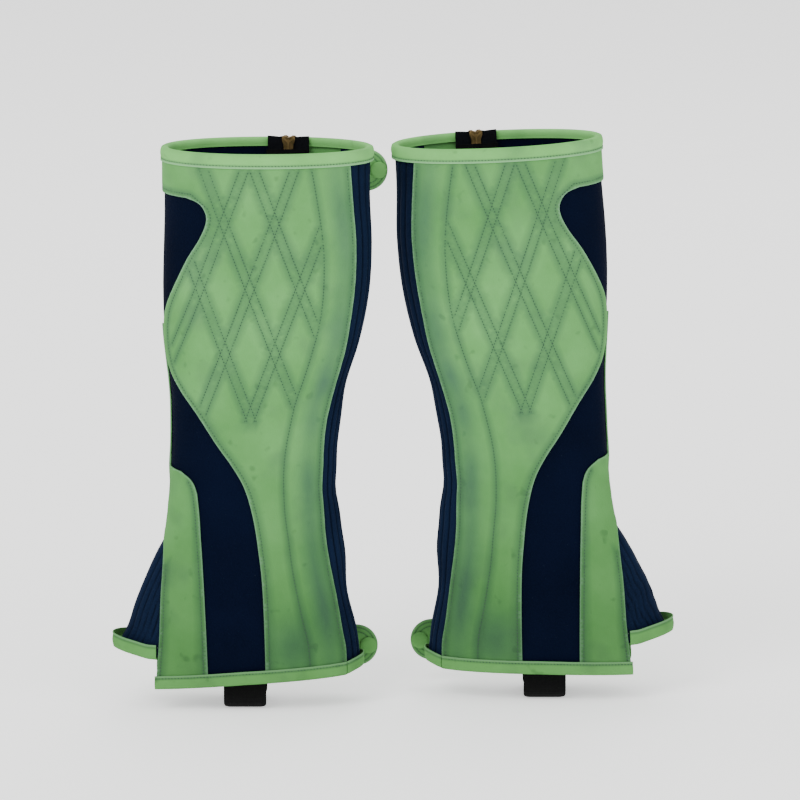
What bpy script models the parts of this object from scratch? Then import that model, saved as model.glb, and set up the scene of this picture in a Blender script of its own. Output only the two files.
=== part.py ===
"""A pair of riding gaiters (half chaps) standing upright: navy shells with green suede panels, a ribbed stretch
calf, a zip up the outer side, snap tabs and an elastic strap under each foot. Lengths are in millimetres until
a mesh is finished, and the scene is in metres. +X is the wearer's left, -Y faces the viewer, +Z is up.

Each gaiter is designed as the right one: front of the leg at -X, inner (medial) wall at -Y, outer (lateral)
wall at +Y. The left one is its mirror image, leaning and standing a little further back."""

import math

import bmesh
import bpy
import numpy as np
from mathutils import Matrix, Vector

MM = 0.001

# The leg tube: half-depths and the front and back edges at each height, as (height, distance).
FRONT_EDGE = ((-6, -115), (45, -115), (59, -108), (75, -103), (98, -93.6), (116, -85), (130, -77.5),
              (164, -72.8), (187, -72.8), (241, -73.7), (280, -77), (432, -77))
BACK_EDGE = ((-6, 68.5), (37, 68.3), (57, 66), (87, 59), (118, 57.5), (141, 54), (164, 50.6), (187, 50.6),
             (226, 55), (241, 57), (279, 68.3), (318, 75.8), (353, 78), (395, 76.4), (432, 76.4))
INNER_DEPTH = ((-6, 33), (57, 32), (118, 27), (164, 25), (226, 28), (279, 34), (353, 39), (432, 38))
OVAL_POWER = 2.1
FACES_ROUND = 18
ROW_HEIGHTS = (-6, 31, 63, 95, 127, 156, 189, 221, 257, 296, 341, 385, 432)
SHELL_TOP = 425.2

# The zip runs straight up the outer wall, so that its slider follows a straight line.
ZIP_X = 15.5
ZIP_DEPTH_LOW = 30.0
ZIP_DEPTH_HIGH = 37.5
ZIP_HEIGHT_HIGH = 430.0
ZIP_GAP = 7.5
ZIP_TURN = math.radians(-10.5)
TAPE_INSET = 4.9
TAPE_THICK = 0.8
TAPE_WIDTH = 16.0
TAPE_TOP = 428.5
TAPE_FOOT = 27.0
TOOTH_PITCH = 24.0
TEETH_FOOT = 37.5
SLIDER_TOP = 428.5
SLIDER_LENGTH = 12.5
SLIDER_HALF_WIDTH = 5.0
REAR_TEETH_TOP = 397.5

# Layers, measured outwards from the shell's outer face.
SHELL_THICK = 2.5
STRETCH_THICK = 2.2
SUEDE_GAP = 0.6
SUEDE_THICK = 1.2
GUARD_INSET = 9.6
GUARD_THICK = 1.0
BINDING_TALL = 10.5
BINDING_THICK = 1.2
BINDING_OUT = 2.2
BINDING_IN = -2.9
SEAM_GAP = 0.4

# Outlines across the shell, as (x, height).
CALF_SEAM = ((58, -20), (57.5, 39), (54.4, 60), (49.8, 87), (43.5, 123), (40.5, 155), (39.8, 178), (42, 213),
             (46.5, 236), (55.9, 271), (59.5, 290), (63.8, 324), (65.2, 353), (64.4, 376), (59.5, 440))
OUTER_SEAM = ((41, -20), (41, 20), (38, 100), (36, 178), (40, 230), (50, 290), (55, 353), (55, 440))
HEM_LINE = ((-150, 14), (-85, 16), (-20, 21), (57, 25), (68.5, 29), (120, 29))
WING_EDGE = ((-84.8, -20), (-84.8, 14), (-83, 40), (-81.7, 57), (-80.5, 87), (-78, 118), (-77.3, 130))
GRIP_FRONT = ((-2.6, -20), (-2.6, 37), (-4.5, 92), (-7.5, 122), (-11.3, 147), (-17.5, 170), (-26.7, 187),
              (-39, 205), (-52.5, 227), (-64, 245), (-71, 262), (-74.4, 285), (-72, 312), (-61, 343),
              (-50.5, 365), (-46.2, 380), (-48.2, 389.5), (-53.2, 395), (-61, 397.6), (-120, 398))
POCKET_FOOT = 12
STRIP_BACK = ((-45, -20), (-45.8, 34), (-48.8, 100), (-52.6, 163), (-54.2, 175), (-58, 182), (-65.7, 188),
              (-120, 192))
INSTEP_HEM = ((-140, 56), (-116, 50), (-103.4, 46.5), (-90.7, 41), (-60, 39.5))

# The elastic strap under the foot.
STRAP_X = (-34.0, -2.0)
STRAP_THICK = 2.0
STRAP_HALF_SPAN = 27.0
STRAP_TOP = 46.0
STRAP_CORNER = 12.0

# Snap tabs: hinge line at the root, and the stud on the other side of the zip.
TAB_LENGTH = 47.0
TAB_HALF_TALL = 16.0
TAB_THICK = 1.5
TAB_STANDOFF = 4.3
TAB_SOCKET = 40.0
TAB_SWING = math.radians(176)
TOP_TAB = {"x": 41.0, "z": 402.0}
HEEL_TAB = {"x": 33.5, "z": 37.0}
RIVET_X = 48.5
RIVET_Z = 410.0
HOLE_RADIUS = 1.9

# The strip behind the zip turns about a line that leans back, just outside the calf. This is the line's foot.
FLAP_HINGE_FOOT = (58.0, 27.0, 20.0)

# The pair as it stands.
RIGHT_ORIGIN = (-94.0, -16.5)
LEFT_ORIGIN = (96.0, 13.5)
LEFT_LEAN = math.radians(-2.6)

COLOURS = {
    "suede": ((0.22, 0.43, 0.18), 0.9, 0.0), "shell": ((0.003, 0.006, 0.03), 0.85, 0.0),
    "stretch": ((0.008, 0.014, 0.04), 0.9, 0.0), "elastic": ((0.004, 0.004, 0.004), 0.9, 0.0),
    "tape": ((0.006, 0.007, 0.012), 0.8, 0.0), "teeth": ((0.005, 0.005, 0.007), 0.45, 0.0),
    "brass": ((0.16, 0.13, 0.08), 0.4, 1.0), "snap": ((0.5, 0.46, 0.38), 0.35, 1.0),
}


def smooth_value(points, at):
    """The value at a height on the smooth curve through (height, value) points."""
    heights, values = (np.array(column, float) for column in zip(*points))
    slopes = np.gradient(values, heights)
    i = int(np.clip(np.searchsorted(heights, at) - 1, 0, len(heights) - 2))
    span = heights[i + 1] - heights[i]
    t = min(max((at - heights[i]) / span, 0), 1)
    return ((1 + 2 * t) * (1 - t) ** 2 * values[i] + t * (1 - t) ** 2 * span * slopes[i]
            + t * t * (3 - 2 * t) * values[i + 1] + t * t * (t - 1) * span * slopes[i + 1])


def zip_depth(z):
    return ZIP_DEPTH_LOW + (ZIP_DEPTH_HIGH - ZIP_DEPTH_LOW) * z / ZIP_HEIGHT_HIGH


def oval_at(z):
    """Centre, half-width, and the inner and outer half-depths of the leg's oval at a height."""
    front, back = smooth_value(FRONT_EDGE, z), smooth_value(BACK_EDGE, z)
    centre, half = (front + back) / 2, (back - front) / 2
    at_zip = (1 - abs((ZIP_X - centre) / half) ** OVAL_POWER) ** (1 / OVAL_POWER)
    return centre, half, smooth_value(INNER_DEPTH, z), zip_depth(z) / at_zip


def wall_point(angle, z, offset):
    """A point on the wall: angle 0 is the shin, 90 degrees the inner side, 180 the calf, 270 the outer side."""
    centre, half, inner, outer = oval_at(z)
    c, s = math.cos(angle), math.sin(angle)
    depth = inner if s > 0 else outer
    power = 2 / OVAL_POWER
    x = -math.copysign(abs(c) ** power, c)
    y = -math.copysign(abs(s) ** power, s)
    normal = Vector((math.copysign(abs(x) ** (OVAL_POWER - 1), x) / half,
                     math.copysign(abs(y) ** (OVAL_POWER - 1), y) / depth, 0)).normalized()
    return Vector((centre + half * x, depth * y, z)) + normal * offset


def wall_at_x(x, z, offset):
    """The point on the outer wall above x, and the outward direction there."""
    centre, half, _, outer = oval_at(z)
    t = (x - centre) / half
    y = (1 - abs(t) ** OVAL_POWER) ** (1 / OVAL_POWER)
    normal = Vector((math.copysign(abs(t) ** (OVAL_POWER - 1), t) / half,
                     y ** (OVAL_POWER - 1) / outer, 0)).normalized()
    return Vector((x, outer * y, z)) + normal * offset, normal


def new_collection(name):
    collection = bpy.data.collections.new(name)
    bpy.context.scene.collection.children.link(collection)
    return collection


def clear_scene():
    for obj in list(bpy.data.objects):
        bpy.data.objects.remove(obj, do_unlink=True)


clear_scene()
PARTS = new_collection("riding_gaiters")
CUTTERS = new_collection("cutters")


def make_material(name):
    colour, roughness, metallic = COLOURS[name]
    material = bpy.data.materials.new(name)
    material.use_nodes = True
    shader = material.node_tree.nodes["Principled BSDF"]
    shader.inputs["Base Color"].default_value = (*colour, 1)
    shader.inputs["Roughness"].default_value = roughness
    shader.inputs["Metallic"].default_value = metallic
    return material


MATERIALS = {name: make_material(name) for name in COLOURS}


def object_from(bm, name):
    mesh = bpy.data.meshes.new(name)
    bmesh.ops.recalc_face_normals(bm, faces=bm.faces[:])
    bm.to_mesh(mesh)
    bm.free()
    obj = bpy.data.objects.new(name, mesh)
    CUTTERS.objects.link(obj)
    obj.hide_render = True
    obj.display_type = "WIRE"
    return obj


def grid_sheet(name, rows, closed=False):
    """An open sheet through rows of points."""
    bm = bmesh.new()
    verts = [[bm.verts.new(point) for point in row] for row in rows]
    count = len(rows[0])
    for low, high in zip(verts, verts[1:]):
        for j in range(count if closed else count - 1):
            k = (j + 1) % count
            bm.faces.new((low[j], low[k], high[k], high[j]))
    return object_from(bm, name)


def thicken(obj, thickness, outwards=1.0):
    modifier = obj.modifiers.new("thickness", "SOLIDIFY")
    modifier.thickness = thickness
    modifier.offset = outwards
    return obj


def cut(obj, cutter, operation="DIFFERENCE"):
    modifier = obj.modifiers.new("cut", "BOOLEAN")
    modifier.operation = operation
    modifier.solver = "EXACT"
    modifier.object = cutter
    return obj


def ring(name, inside, outside):
    """The leg's tube between two offsets from the shell's outer face."""
    rows = [[wall_point(-(j + 0.5) * math.tau / FACES_ROUND, z, inside) for j in range(FACES_ROUND)]
            for z in ROW_HEIGHTS]
    tube = thicken(grid_sheet(name, rows, closed=True), outside - inside)
    tube.modifiers.new("flat faces", "TRIANGULATE")
    return tube


def prism(name, outline, near, far):
    """An outline of (x, z) points extruded from y=near to y=far."""
    bm = bmesh.new()
    face = bm.faces.new([bm.verts.new((x, near, z)) for x, z in outline])
    grown = bmesh.ops.extrude_face_region(bm, geom=[face])
    moved = [item for item in grown["geom"] if isinstance(item, bmesh.types.BMVert)]
    bmesh.ops.translate(bm, verts=moved, vec=(0, far - near, 0))
    return object_from(bm, name)


def shifted(line, x=0.0, z=0.0):
    return [(px + x, pz + z) for px, pz in line]


def behind(line):
    """The area on the calf side of a line that runs upwards."""
    return [*line, (150, line[-1][1]), (150, line[0][1])]


def before(line):
    """The area on the shin side of a line that runs upwards."""
    return [*line, (-150, line[-1][1]), (-150, line[0][1])]


def above(line, top=480.0):
    return [*line, (line[-1][0], top), (line[0][0], top)]


def below(line, bottom=-40.0):
    return [*line, (line[-1][0], bottom), (line[0][0], bottom)]


INNER_SIDE = (-120.0, 1.0)
OUTER_SIDE = (-1.0, 120.0)
BOTH_SIDES = (-120.0, 120.0)


def boxed(x_low, x_high, z_low, z_high):
    return [(x_low, z_low), (x_high, z_low), (x_high, z_high), (x_low, z_high)]


def remove_area(obj, outline, side):
    return cut(obj, prism(f"{obj.name}_away", outline, *side))


def keep_area(obj, outline, side):
    return cut(obj, prism(f"{obj.name}_keep", outline, *side), "INTERSECT")


def finished(obj, name):
    """The object's evaluated mesh, in metres."""
    graph = bpy.context.evaluated_depsgraph_get()
    mesh = bpy.data.meshes.new_from_object(obj.evaluated_get(graph))
    bm = bmesh.new()
    bm.from_mesh(mesh)
    bmesh.ops.remove_doubles(bm, verts=bm.verts[:], dist=0.01)
    bmesh.ops.dissolve_degenerate(bm, edges=bm.edges[:], dist=0.005)
    bmesh.ops.triangulate(bm, faces=bm.faces[:])
    bmesh.ops.scale(bm, verts=bm.verts[:], vec=(MM, MM, MM))
    bm.to_mesh(mesh)
    bm.free()
    mesh.name = name
    return mesh


PIECES = []


def add_piece(obj, name, material, body="shell"):
    mesh = finished(obj, name)
    mesh.materials.clear()
    mesh.materials.append(MATERIALS[material])
    mesh.shade_smooth()
    mesh.set_sharp_from_angle(angle=math.radians(30))
    PIECES.append((name, mesh, body))


# ---- walls ----

FRONT_OF_ZIP = ZIP_X - ZIP_GAP
BEHIND_ZIP = ZIP_X + ZIP_GAP


def trimmed(obj, hem_rise=2.0):
    """Cuts a wall layer off at the top and along the hem."""
    remove_area(obj, boxed(-150, 150, SHELL_TOP, 480), BOTH_SIDES)
    return remove_area(obj, below(shifted(HEM_LINE, z=hem_rise)), BOTH_SIDES)


def base_shell():
    obj = trimmed(ring("base_shell", -SHELL_THICK, 0))
    remove_area(obj, behind(CALF_SEAM), INNER_SIDE)
    remove_area(obj, behind([(FRONT_OF_ZIP, -20), (FRONT_OF_ZIP, 440)]), OUTER_SIDE)
    remove_area(obj, before(WING_EDGE), BOTH_SIDES)
    add_piece(obj, "base_shell", "shell")


def suede_layer(name):
    return trimmed(ring(name, SUEDE_GAP, SUEDE_GAP + SUEDE_THICK))


def grip_panel():
    obj = suede_layer("inner_grip_panel")
    area = [*GRIP_FRONT, (-120, 440), *reversed(CALF_SEAM)]
    keep_area(obj, area, (INNER_SIDE[0], -0.4))
    add_piece(obj, "inner_grip_panel", "suede")


def outer_panel():
    obj = suede_layer("outer_side_panel")
    area = [(-120, -20), (-120, 298), *GRIP_FRONT[POCKET_FOOT:], (-120, 440), (FRONT_OF_ZIP, 440),
            (FRONT_OF_ZIP, -20)]
    keep_area(obj, area, (0.4, OUTER_SIDE[1]))
    remove_area(obj, before(WING_EDGE), BOTH_SIDES)
    add_piece(obj, "outer_side_panel", "suede")


def ankle_strip():
    obj = suede_layer("ankle_strip")
    keep_area(obj, before(STRIP_BACK), (INNER_SIDE[0], -0.4))
    remove_area(obj, before(WING_EDGE), BOTH_SIDES)
    add_piece(obj, "ankle_strip", "suede")


def instep_gusset():
    obj = ring("instep_gusset", -STRETCH_THICK, 0)
    keep_area(obj, before(shifted(WING_EDGE, x=-SEAM_GAP)), BOTH_SIDES)
    remove_area(obj, below(shifted(INSTEP_HEM, z=BINDING_THICK + SEAM_GAP)), BOTH_SIDES)
    add_piece(obj, "instep_gusset", "stretch")


def calf_stretch_panel():
    obj = trimmed(ring("calf_stretch_panel", -STRETCH_THICK, 0))
    remove_area(obj, before(shifted(CALF_SEAM, x=SEAM_GAP)), INNER_SIDE)
    remove_area(obj, before(shifted(OUTER_SEAM, x=SEAM_GAP)), OUTER_SIDE)
    add_piece(obj, "calf_stretch_panel", "stretch")


def zip_side_panel():
    obj = trimmed(ring("zip_side_panel", -SUEDE_THICK, 0))
    keep_area(obj, [(BEHIND_ZIP, -20), *OUTER_SEAM, (BEHIND_ZIP, 440)], (1.0, OUTER_SIDE[1]))
    drill(obj, *wall_at_x(RIVET_X, RIVET_Z, 0))
    add_piece(obj, "zip_side_panel", "suede", "flap")


def drill(obj, centre, direction):
    bm = bmesh.new()
    bmesh.ops.create_cone(bm, cap_ends=True, segments=12, radius1=HOLE_RADIUS, radius2=HOLE_RADIUS, depth=20)
    turn = Vector((0, 0, 1)).rotation_difference(direction).to_matrix().to_4x4()
    bmesh.ops.transform(bm, verts=bm.verts[:], matrix=Matrix.Translation(centre) @ turn)
    return cut(obj, object_from(bm, f"{obj.name}_hole"))


# ---- bindings ----


def binding(name, band, slot, cuts, body="shell"):
    """A folded strip round an edge: a thick band with a slot for the wall."""
    obj = ring(name, BINDING_IN - BINDING_THICK, BINDING_OUT + BINDING_THICK)
    keep_area(obj, band, BOTH_SIDES)
    for outline, side in cuts:
        remove_area(obj, outline, side)
    groove = ring(f"{name}_groove", BINDING_IN, BINDING_OUT)
    keep_area(groove, slot, BOTH_SIDES)
    cut(obj, groove)
    add_piece(obj, name, "suede", body)


def top_and_hem_bindings():
    top_band = boxed(-150, 150, SHELL_TOP + SEAM_GAP + BINDING_THICK - BINDING_TALL,
                     SHELL_TOP + SEAM_GAP + BINDING_THICK)
    top_slot = boxed(-150, 150, 300, SHELL_TOP + SEAM_GAP)
    hem_band = [*HEM_LINE, *reversed(shifted(HEM_LINE, z=BINDING_TALL))]
    hem_slot = above(shifted(HEM_LINE, z=BINDING_THICK))
    zip_front = [(FRONT_OF_ZIP, -20), (FRONT_OF_ZIP, 440)]
    zip_back = [(BEHIND_ZIP, -20), (BEHIND_ZIP, 440)]
    shell_ends = ((behind(CALF_SEAM), INNER_SIDE), (behind(zip_front), OUTER_SIDE))
    calf_ends = ((before(shifted(CALF_SEAM, x=SEAM_GAP)), INNER_SIDE),
                 (before(shifted(OUTER_SEAM, x=SEAM_GAP)), OUTER_SIDE))
    flap_ends = ((before(zip_back), BOTH_SIDES), (behind(OUTER_SEAM), BOTH_SIDES),
                 (boxed(-150, 150, -30, 480), (INNER_SIDE[0], 1.0)))
    wings = (before([(-85.2, -30), (-85.2, 60)]), BOTH_SIDES)
    outer_half = (boxed(-150, 150, -30, 60), (-0.5, OUTER_SIDE[1]))
    inner_half = (boxed(-150, 150, -30, 60), (INNER_SIDE[0], 0.5))
    binding("top_binding_shell", top_band, top_slot, shell_ends)
    binding("top_binding_calf", top_band, top_slot, calf_ends)
    binding("top_binding_flap", top_band, top_slot, flap_ends, "flap")
    binding("hem_binding_inner", hem_band, hem_slot, (*shell_ends, wings, outer_half))
    binding("hem_binding_outer", hem_band, hem_slot, (*shell_ends, wings, inner_half))
    binding("hem_binding_calf", hem_band, hem_slot, calf_ends)
    binding("hem_binding_flap", hem_band, hem_slot, flap_ends, "flap")


def instep_binding():
    band = [*INSTEP_HEM, *reversed(shifted(INSTEP_HEM, z=BINDING_TALL + 1))]
    slot = above(shifted(INSTEP_HEM, z=BINDING_THICK))
    behind_wings = (behind(shifted(WING_EDGE, x=-SEAM_GAP)), BOTH_SIDES)
    binding("instep_binding", band, slot, (behind_wings,))


# ---- zip ----


def zip_frame(z):
    """Axes at a height on the zip: across the teeth, outwards, and up along the zip."""
    up = Vector((0, (ZIP_DEPTH_HIGH - ZIP_DEPTH_LOW) / ZIP_HEIGHT_HIGH, 1)).normalized()
    across = Vector((math.cos(ZIP_TURN), math.sin(ZIP_TURN), 0))
    outwards = up.cross(across).normalized()
    origin = Vector((ZIP_X, zip_depth(z) - TAPE_INSET, z))
    return Matrix((across, outwards, up)).transposed().to_4x4(), origin


def in_zip_frame(obj, z=0.0):
    turn, origin = zip_frame(z)
    obj.data.transform(Matrix.Translation(origin) @ turn)
    return obj


def zip_tape(name, x_low, x_high, body):
    obj = ring(name, -TAPE_INSET - TAPE_THICK / 2, -TAPE_INSET + TAPE_THICK / 2)
    keep_area(obj, boxed(x_low, x_high, TAPE_FOOT, TAPE_TOP), (1.0, OUTER_SIDE[1]))
    if body == "flap":
        remove_area(obj, boxed(x_low - 1, x_low + 2.2, REAR_TEETH_TOP - 1, 480), BOTH_SIDES)
        remove_area(obj, boxed(x_low - 1, x_low + 2.2, 0, TEETH_FOOT + 2), BOTH_SIDES)
    add_piece(obj, name, "tape", body)


def zip_teeth(name, side, top, body):
    """A sewn cord with teeth along it: one comb, cut from a plate."""
    cord_in, cord_out, tip, half_thick = 1.6, 3.2, 0.8, 1.2
    outline = [(cord_out, TEETH_FOOT), (cord_out, top), (cord_in, top)]
    count = int((top - TEETH_FOOT) / TOOTH_PITCH)
    start = 0.25 if side > 0 else 0.75
    for i in range(count):
        z = top - (i + start) * TOOTH_PITCH - 2
        outline += [(cord_in, z + 2), (tip, z + 1), (tip, z - 1), (cord_in, z - 2)]
    outline.append((cord_in, TEETH_FOOT))
    obj = in_zip_frame(prism(name, [(side * x, z) for x, z in outline], -half_thick, half_thick))
    if body == "shell":
        link = block_object(f"{name}_link", (-2.9, -0.9, TEETH_FOOT - 3), (-1.9, 0.9, TEETH_FOOT + 3))
        stop = block_object(f"{name}_stop", (-3.1, -1.7, TEETH_FOOT - 9), (3.1, 1.7, TEETH_FOOT - 0.7))
        united(obj, [in_zip_frame(link), in_zip_frame(stop)])
    add_piece(obj, name, "teeth", body)


def block(bm, low, high):
    made = bmesh.ops.create_cube(bm, size=1)
    size = Vector(high) - Vector(low)
    bmesh.ops.scale(bm, verts=made["verts"], vec=size)
    bmesh.ops.translate(bm, verts=made["verts"], vec=(Vector(low) + Vector(high)) / 2)


def block_object(name, low, high):
    bm = bmesh.new()
    block(bm, low, high)
    return object_from(bm, name)


def united(first, others):
    for other in others:
        cut(first, other, "UNION")
    return first


def zip_slider():
    """Two plates joined by a post at the top, with a loop on the outside for the puller."""
    half, plate, length, room = SLIDER_HALF_WIDTH, 1.0, SLIDER_LENGTH, 2.0
    outer = block_object("zip_slider", (-half, room, -length), (half, room + plate, 0))
    inner = block_object("slider_inner", (-half, -room - plate, -length), (half, -room, 0))
    post = block_object("slider_post", (-0.5, -room - 0.5, -3), (0.5, room + 0.5, 0))
    arch_foot = block_object("slider_arch_foot", (-0.6, room + 0.5, -9.2), (0.6, room + 4.1, -8))
    arch_head = block_object("slider_arch_head", (-0.6, room + 0.5, -2.7), (0.6, room + 4.1, -1.5))
    arch_span = block_object("slider_arch_span", (-0.6, room + 3.1, -9.2), (0.6, room + 4.1, -1.5))
    obj = united(outer, [inner, post, arch_foot, arch_head, arch_span])
    bevel = obj.modifiers.new("soft", "BEVEL")
    bevel.width = 0.25
    bevel.limit_method = "ANGLE"
    for shape in (outer, inner, post, arch_foot, arch_head, arch_span):
        in_zip_frame(shape, SLIDER_TOP)
    add_piece(obj, "zip_slider", "brass", "slider")


PULLER_PIVOT = (0.0, 4.05, -4.2)


def zip_puller():
    """A tag hanging from its top bar, which lies inside the slider's loop."""
    _, out, bar = PULLER_PIVOT
    tag = block_object("zip_puller", (-3.4, out - 0.5, -30), (3.4, out + 0.5, bar + 0.5))
    window = block_object("puller_window", (-1.3, out - 2, -11), (1.3, out + 2, bar - 0.5))
    in_zip_frame(tag, SLIDER_TOP)
    in_zip_frame(window, SLIDER_TOP)
    add_piece(cut(tag, window), "zip_puller", "brass", "puller")


def zip_guard():
    obj = ring("zip_guard", -GUARD_INSET, -GUARD_INSET + GUARD_THICK)
    keep_area(obj, boxed(ZIP_X - 17, ZIP_X + 17, 32, 419), (1.0, OUTER_SIDE[1]))
    add_piece(obj, "zip_guard", "elastic")


# ---- strap, tabs, snaps ----


def stirrup_strap():
    arc = [(STRAP_HALF_SPAN - STRAP_CORNER * (1 - math.sin(a)), STRAP_CORNER * (1 - math.cos(a)))
           for a in np.radians((0, 22.5, 45, 67.5, 90))]
    half = [*arc, (STRAP_HALF_SPAN, STRAP_TOP)]
    path = [(-y, z) for y, z in reversed(half)] + half
    rows = [[(x, y, z) for x in STRAP_X] for y, z in path]
    obj = grid_sheet("stirrup_strap", rows)
    lowest = min(vertex.co.z for vertex in obj.data.vertices)
    thicken(obj, STRAP_THICK, strap_side(obj))
    assert lowest == 0
    add_piece(obj, "stirrup_strap", "elastic", "strap")


def strap_side(obj):
    """Which way the sheet's faces point, so that the strap's thickness grows into the loop."""
    lowest = min(obj.data.polygons, key=lambda face: face.center.z)
    return 1.0 if lowest.normal.z > 0 else -1.0


def tab_path(tab):
    """Points along a closed tab: distance from the hinge, place and outward direction."""
    place, _ = wall_at_x(tab["x"], tab["z"], TAB_STANDOFF)
    points, run, x = [], 0.0, tab["x"]
    last = place
    while run < TAB_LENGTH:
        here, normal = wall_at_x(x, tab["z"], TAB_STANDOFF)
        run += (here - last).length
        points.append((run, here, normal))
        last = here
        x -= 0.5
    return points


def on_tab(tab, run):
    return min(tab_path(tab), key=lambda point: abs(point[0] - run))


def tab_hinge(tab):
    """The fold line, just outside the middle of the tab, so that the folded-back tab clears the binding."""
    _, place, direction = on_tab(tab, 0)
    return place + direction * (TAB_THICK / 2 + 0.1)


def half_tall_at(run):
    tip = TAB_LENGTH - TAB_HALF_TALL
    if run <= tip:
        return TAB_HALF_TALL
    return TAB_HALF_TALL * math.sqrt(max(1 - ((run - tip) / TAB_HALF_TALL) ** 2, 0.02))


def snap_tab(name, tab, body):
    runs = (0.5, 11, 21, 31, 35, 39, 42.5, 45, 46.9)
    rows = [[on_tab(tab, run)[1] + Vector((0, 0, share * half_tall_at(run))) for share in (-1, -0.4, 0.4, 1)]
            for run in runs]
    sheet = grid_sheet(name, rows)
    outwards = 1.0 if sheet.data.polygons[0].normal.y > 0 else -1.0
    thicken(sheet, TAB_THICK, outwards)
    _, centre, direction = on_tab(tab, TAB_SOCKET)
    drill(sheet, centre, direction)
    add_piece(sheet, name, "suede", body)


def turned(name, profile, centre, direction):
    """A round piece from a profile of (radius, height) that runs down its outer side."""
    bm = bmesh.new()
    verts = [bm.verts.new((radius, 0, height)) for radius, height in profile]
    for pair in zip(verts, verts[1:]):
        bm.edges.new(pair)
    bmesh.ops.spin(bm, geom=bm.verts[:] + bm.edges[:], axis=(0, 0, 1), cent=(0, 0, 0), steps=8,
                   angle=math.tau, use_merge=True)
    bmesh.ops.remove_doubles(bm, verts=bm.verts[:], dist=0.001)
    obj = object_from(bm, name)
    turn = Vector((0, 0, 1)).rotation_difference(direction).to_matrix().to_4x4()
    obj.data.transform(Matrix.Translation(centre) @ turn)
    return obj


def snap_cap(name, tab, body):
    """The cap outside the tab, its shank, and the socket ring inside, in one turned piece."""
    profile = ((0, 2.9), (3.5, 2.7), (5.6, 2.2), (6, 1.8), (1.4, 1.8), (1.4, -0.3), (5, -0.3), (5, -1.5),
               (3.1, -1.5), (3.1, -0.8), (0, -0.8))
    _, centre, direction = on_tab(tab, TAB_SOCKET)
    add_piece(turned(name, profile, centre, direction), name, "snap", body)


def snap_stud(name, tab):
    """The stud that the socket presses onto, seated on the suede in front of the zip."""
    profile = ((0, -1.1), (2.2, -1.1), (2.6, -1.4), (2.3, -1.8), (4.6, -1.9), (4.6, -2.2), (0, -2.2))
    _, centre, direction = on_tab(tab, TAB_SOCKET)
    add_piece(turned(name, profile, centre, direction), name, "snap")


def tab_rivet():
    """The rivet that holds the top tab's root, with its disc inside the wall."""
    profile = ((0, 1.6), (3.6, 1.5), (4.8, 0.9), (4.8, 0.5), (1.5, 0.5), (1.5, -2.4), (5.2, -2.4), (5.2, -3.0),
               (3.4, -3.6), (0, -3.6))
    add_piece(turned("top_tab_rivet", profile, *wall_at_x(RIVET_X, RIVET_Z, 0)), "top_tab_rivet", "snap", "flap")


# ---- the pair ----


def pivots():
    """Each moving body's parent body and the point on its axis."""
    turn, origin = zip_frame(SLIDER_TOP)
    puller = Matrix.Translation(origin) @ turn @ Vector(PULLER_PIVOT)
    return {
        "shell": (None, Vector((0, 0, 0))),
        "flap": ("shell", Vector(FLAP_HINGE_FOOT)),
        "slider": ("shell", origin),
        "puller": ("slider", puller),
        "top_tab": ("flap", tab_hinge(TOP_TAB)),
        "heel_tab": ("flap", tab_hinge(HEEL_TAB)),
    }


def make_gaiter(side, origin, lean, mirror, open_tabs):
    empties = {}
    for body, (parent, point) in pivots().items():
        empty = bpy.data.objects.new(f"{side}_{body}_axis", None)
        PARTS.objects.link(empty)
        if parent:
            empty.parent = empties[parent]
            empty.location = (point - pivots()[parent][1]) * MM
        empties[body] = empty
    empties["shell"].location = (origin[0] * MM, origin[1] * MM, 0)
    empties["shell"].rotation_euler = (0, lean, 0)
    empties["shell"].scale = (mirror, 1, 1)
    level = bpy.data.objects.new(f"{side}_strap_axis", None)
    PARTS.objects.link(level)
    level.location = empties["shell"].location
    level.scale = (mirror, 1, 1)
    empties["strap"] = level
    for body in open_tabs:
        empties[body].rotation_euler.z = -TAB_SWING
    for name, mesh, body in PIECES:
        obj = bpy.data.objects.new(f"{side}_{name}", mesh)
        PARTS.objects.link(obj)
        obj.parent = empties[body]
        if body in pivots():
            obj.matrix_parent_inverse = Matrix.Translation(-pivots()[body][1] * MM)


def build_pieces():
    base_shell()
    grip_panel()
    outer_panel()
    ankle_strip()
    instep_gusset()
    instep_binding()
    top_and_hem_bindings()
    calf_stretch_panel()
    zip_side_panel()
    tape_edge = 3.5
    zip_tape("zip_tape_front", ZIP_X - TAPE_WIDTH, ZIP_X - tape_edge, "shell")
    zip_tape("zip_tape_rear", ZIP_X + tape_edge, ZIP_X + TAPE_WIDTH, "flap")
    zip_teeth("zip_teeth_front", -1, SLIDER_TOP, "shell")
    zip_teeth("zip_teeth_rear", 1, REAR_TEETH_TOP, "flap")
    zip_slider()
    zip_puller()
    zip_guard()
    stirrup_strap()
    for name, tab in (("top_tab", TOP_TAB), ("heel_tab", HEEL_TAB)):
        snap_tab(name, tab, name)
        snap_cap(f"{name}_snap", tab, name)
        snap_stud(name.replace("tab", "stud"), tab)
    tab_rivet()


build_pieces()
make_gaiter("right", RIGHT_ORIGIN, 0.0, 1, ("top_tab", "heel_tab"))
make_gaiter("left", LEFT_ORIGIN, LEFT_LEAN, -1, ("heel_tab",))
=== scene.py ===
"""Looks for a pair of riding gaiters: suede, ribbed knit, bindings, stitching, zips, webbing and snaps, all
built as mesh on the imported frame. Shapes are designed in millimetres for the right gaiter (shin at -X, inner
side at -Y, outer side at +Y) and placed in metres; the left one is mirrored."""

import math
import random

import bmesh
import bpy
import numpy as np
from mathutils import Matrix, Vector
from mathutils.geometry import delaunay_2d_cdt
from mathutils.kdtree import KDTree


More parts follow.
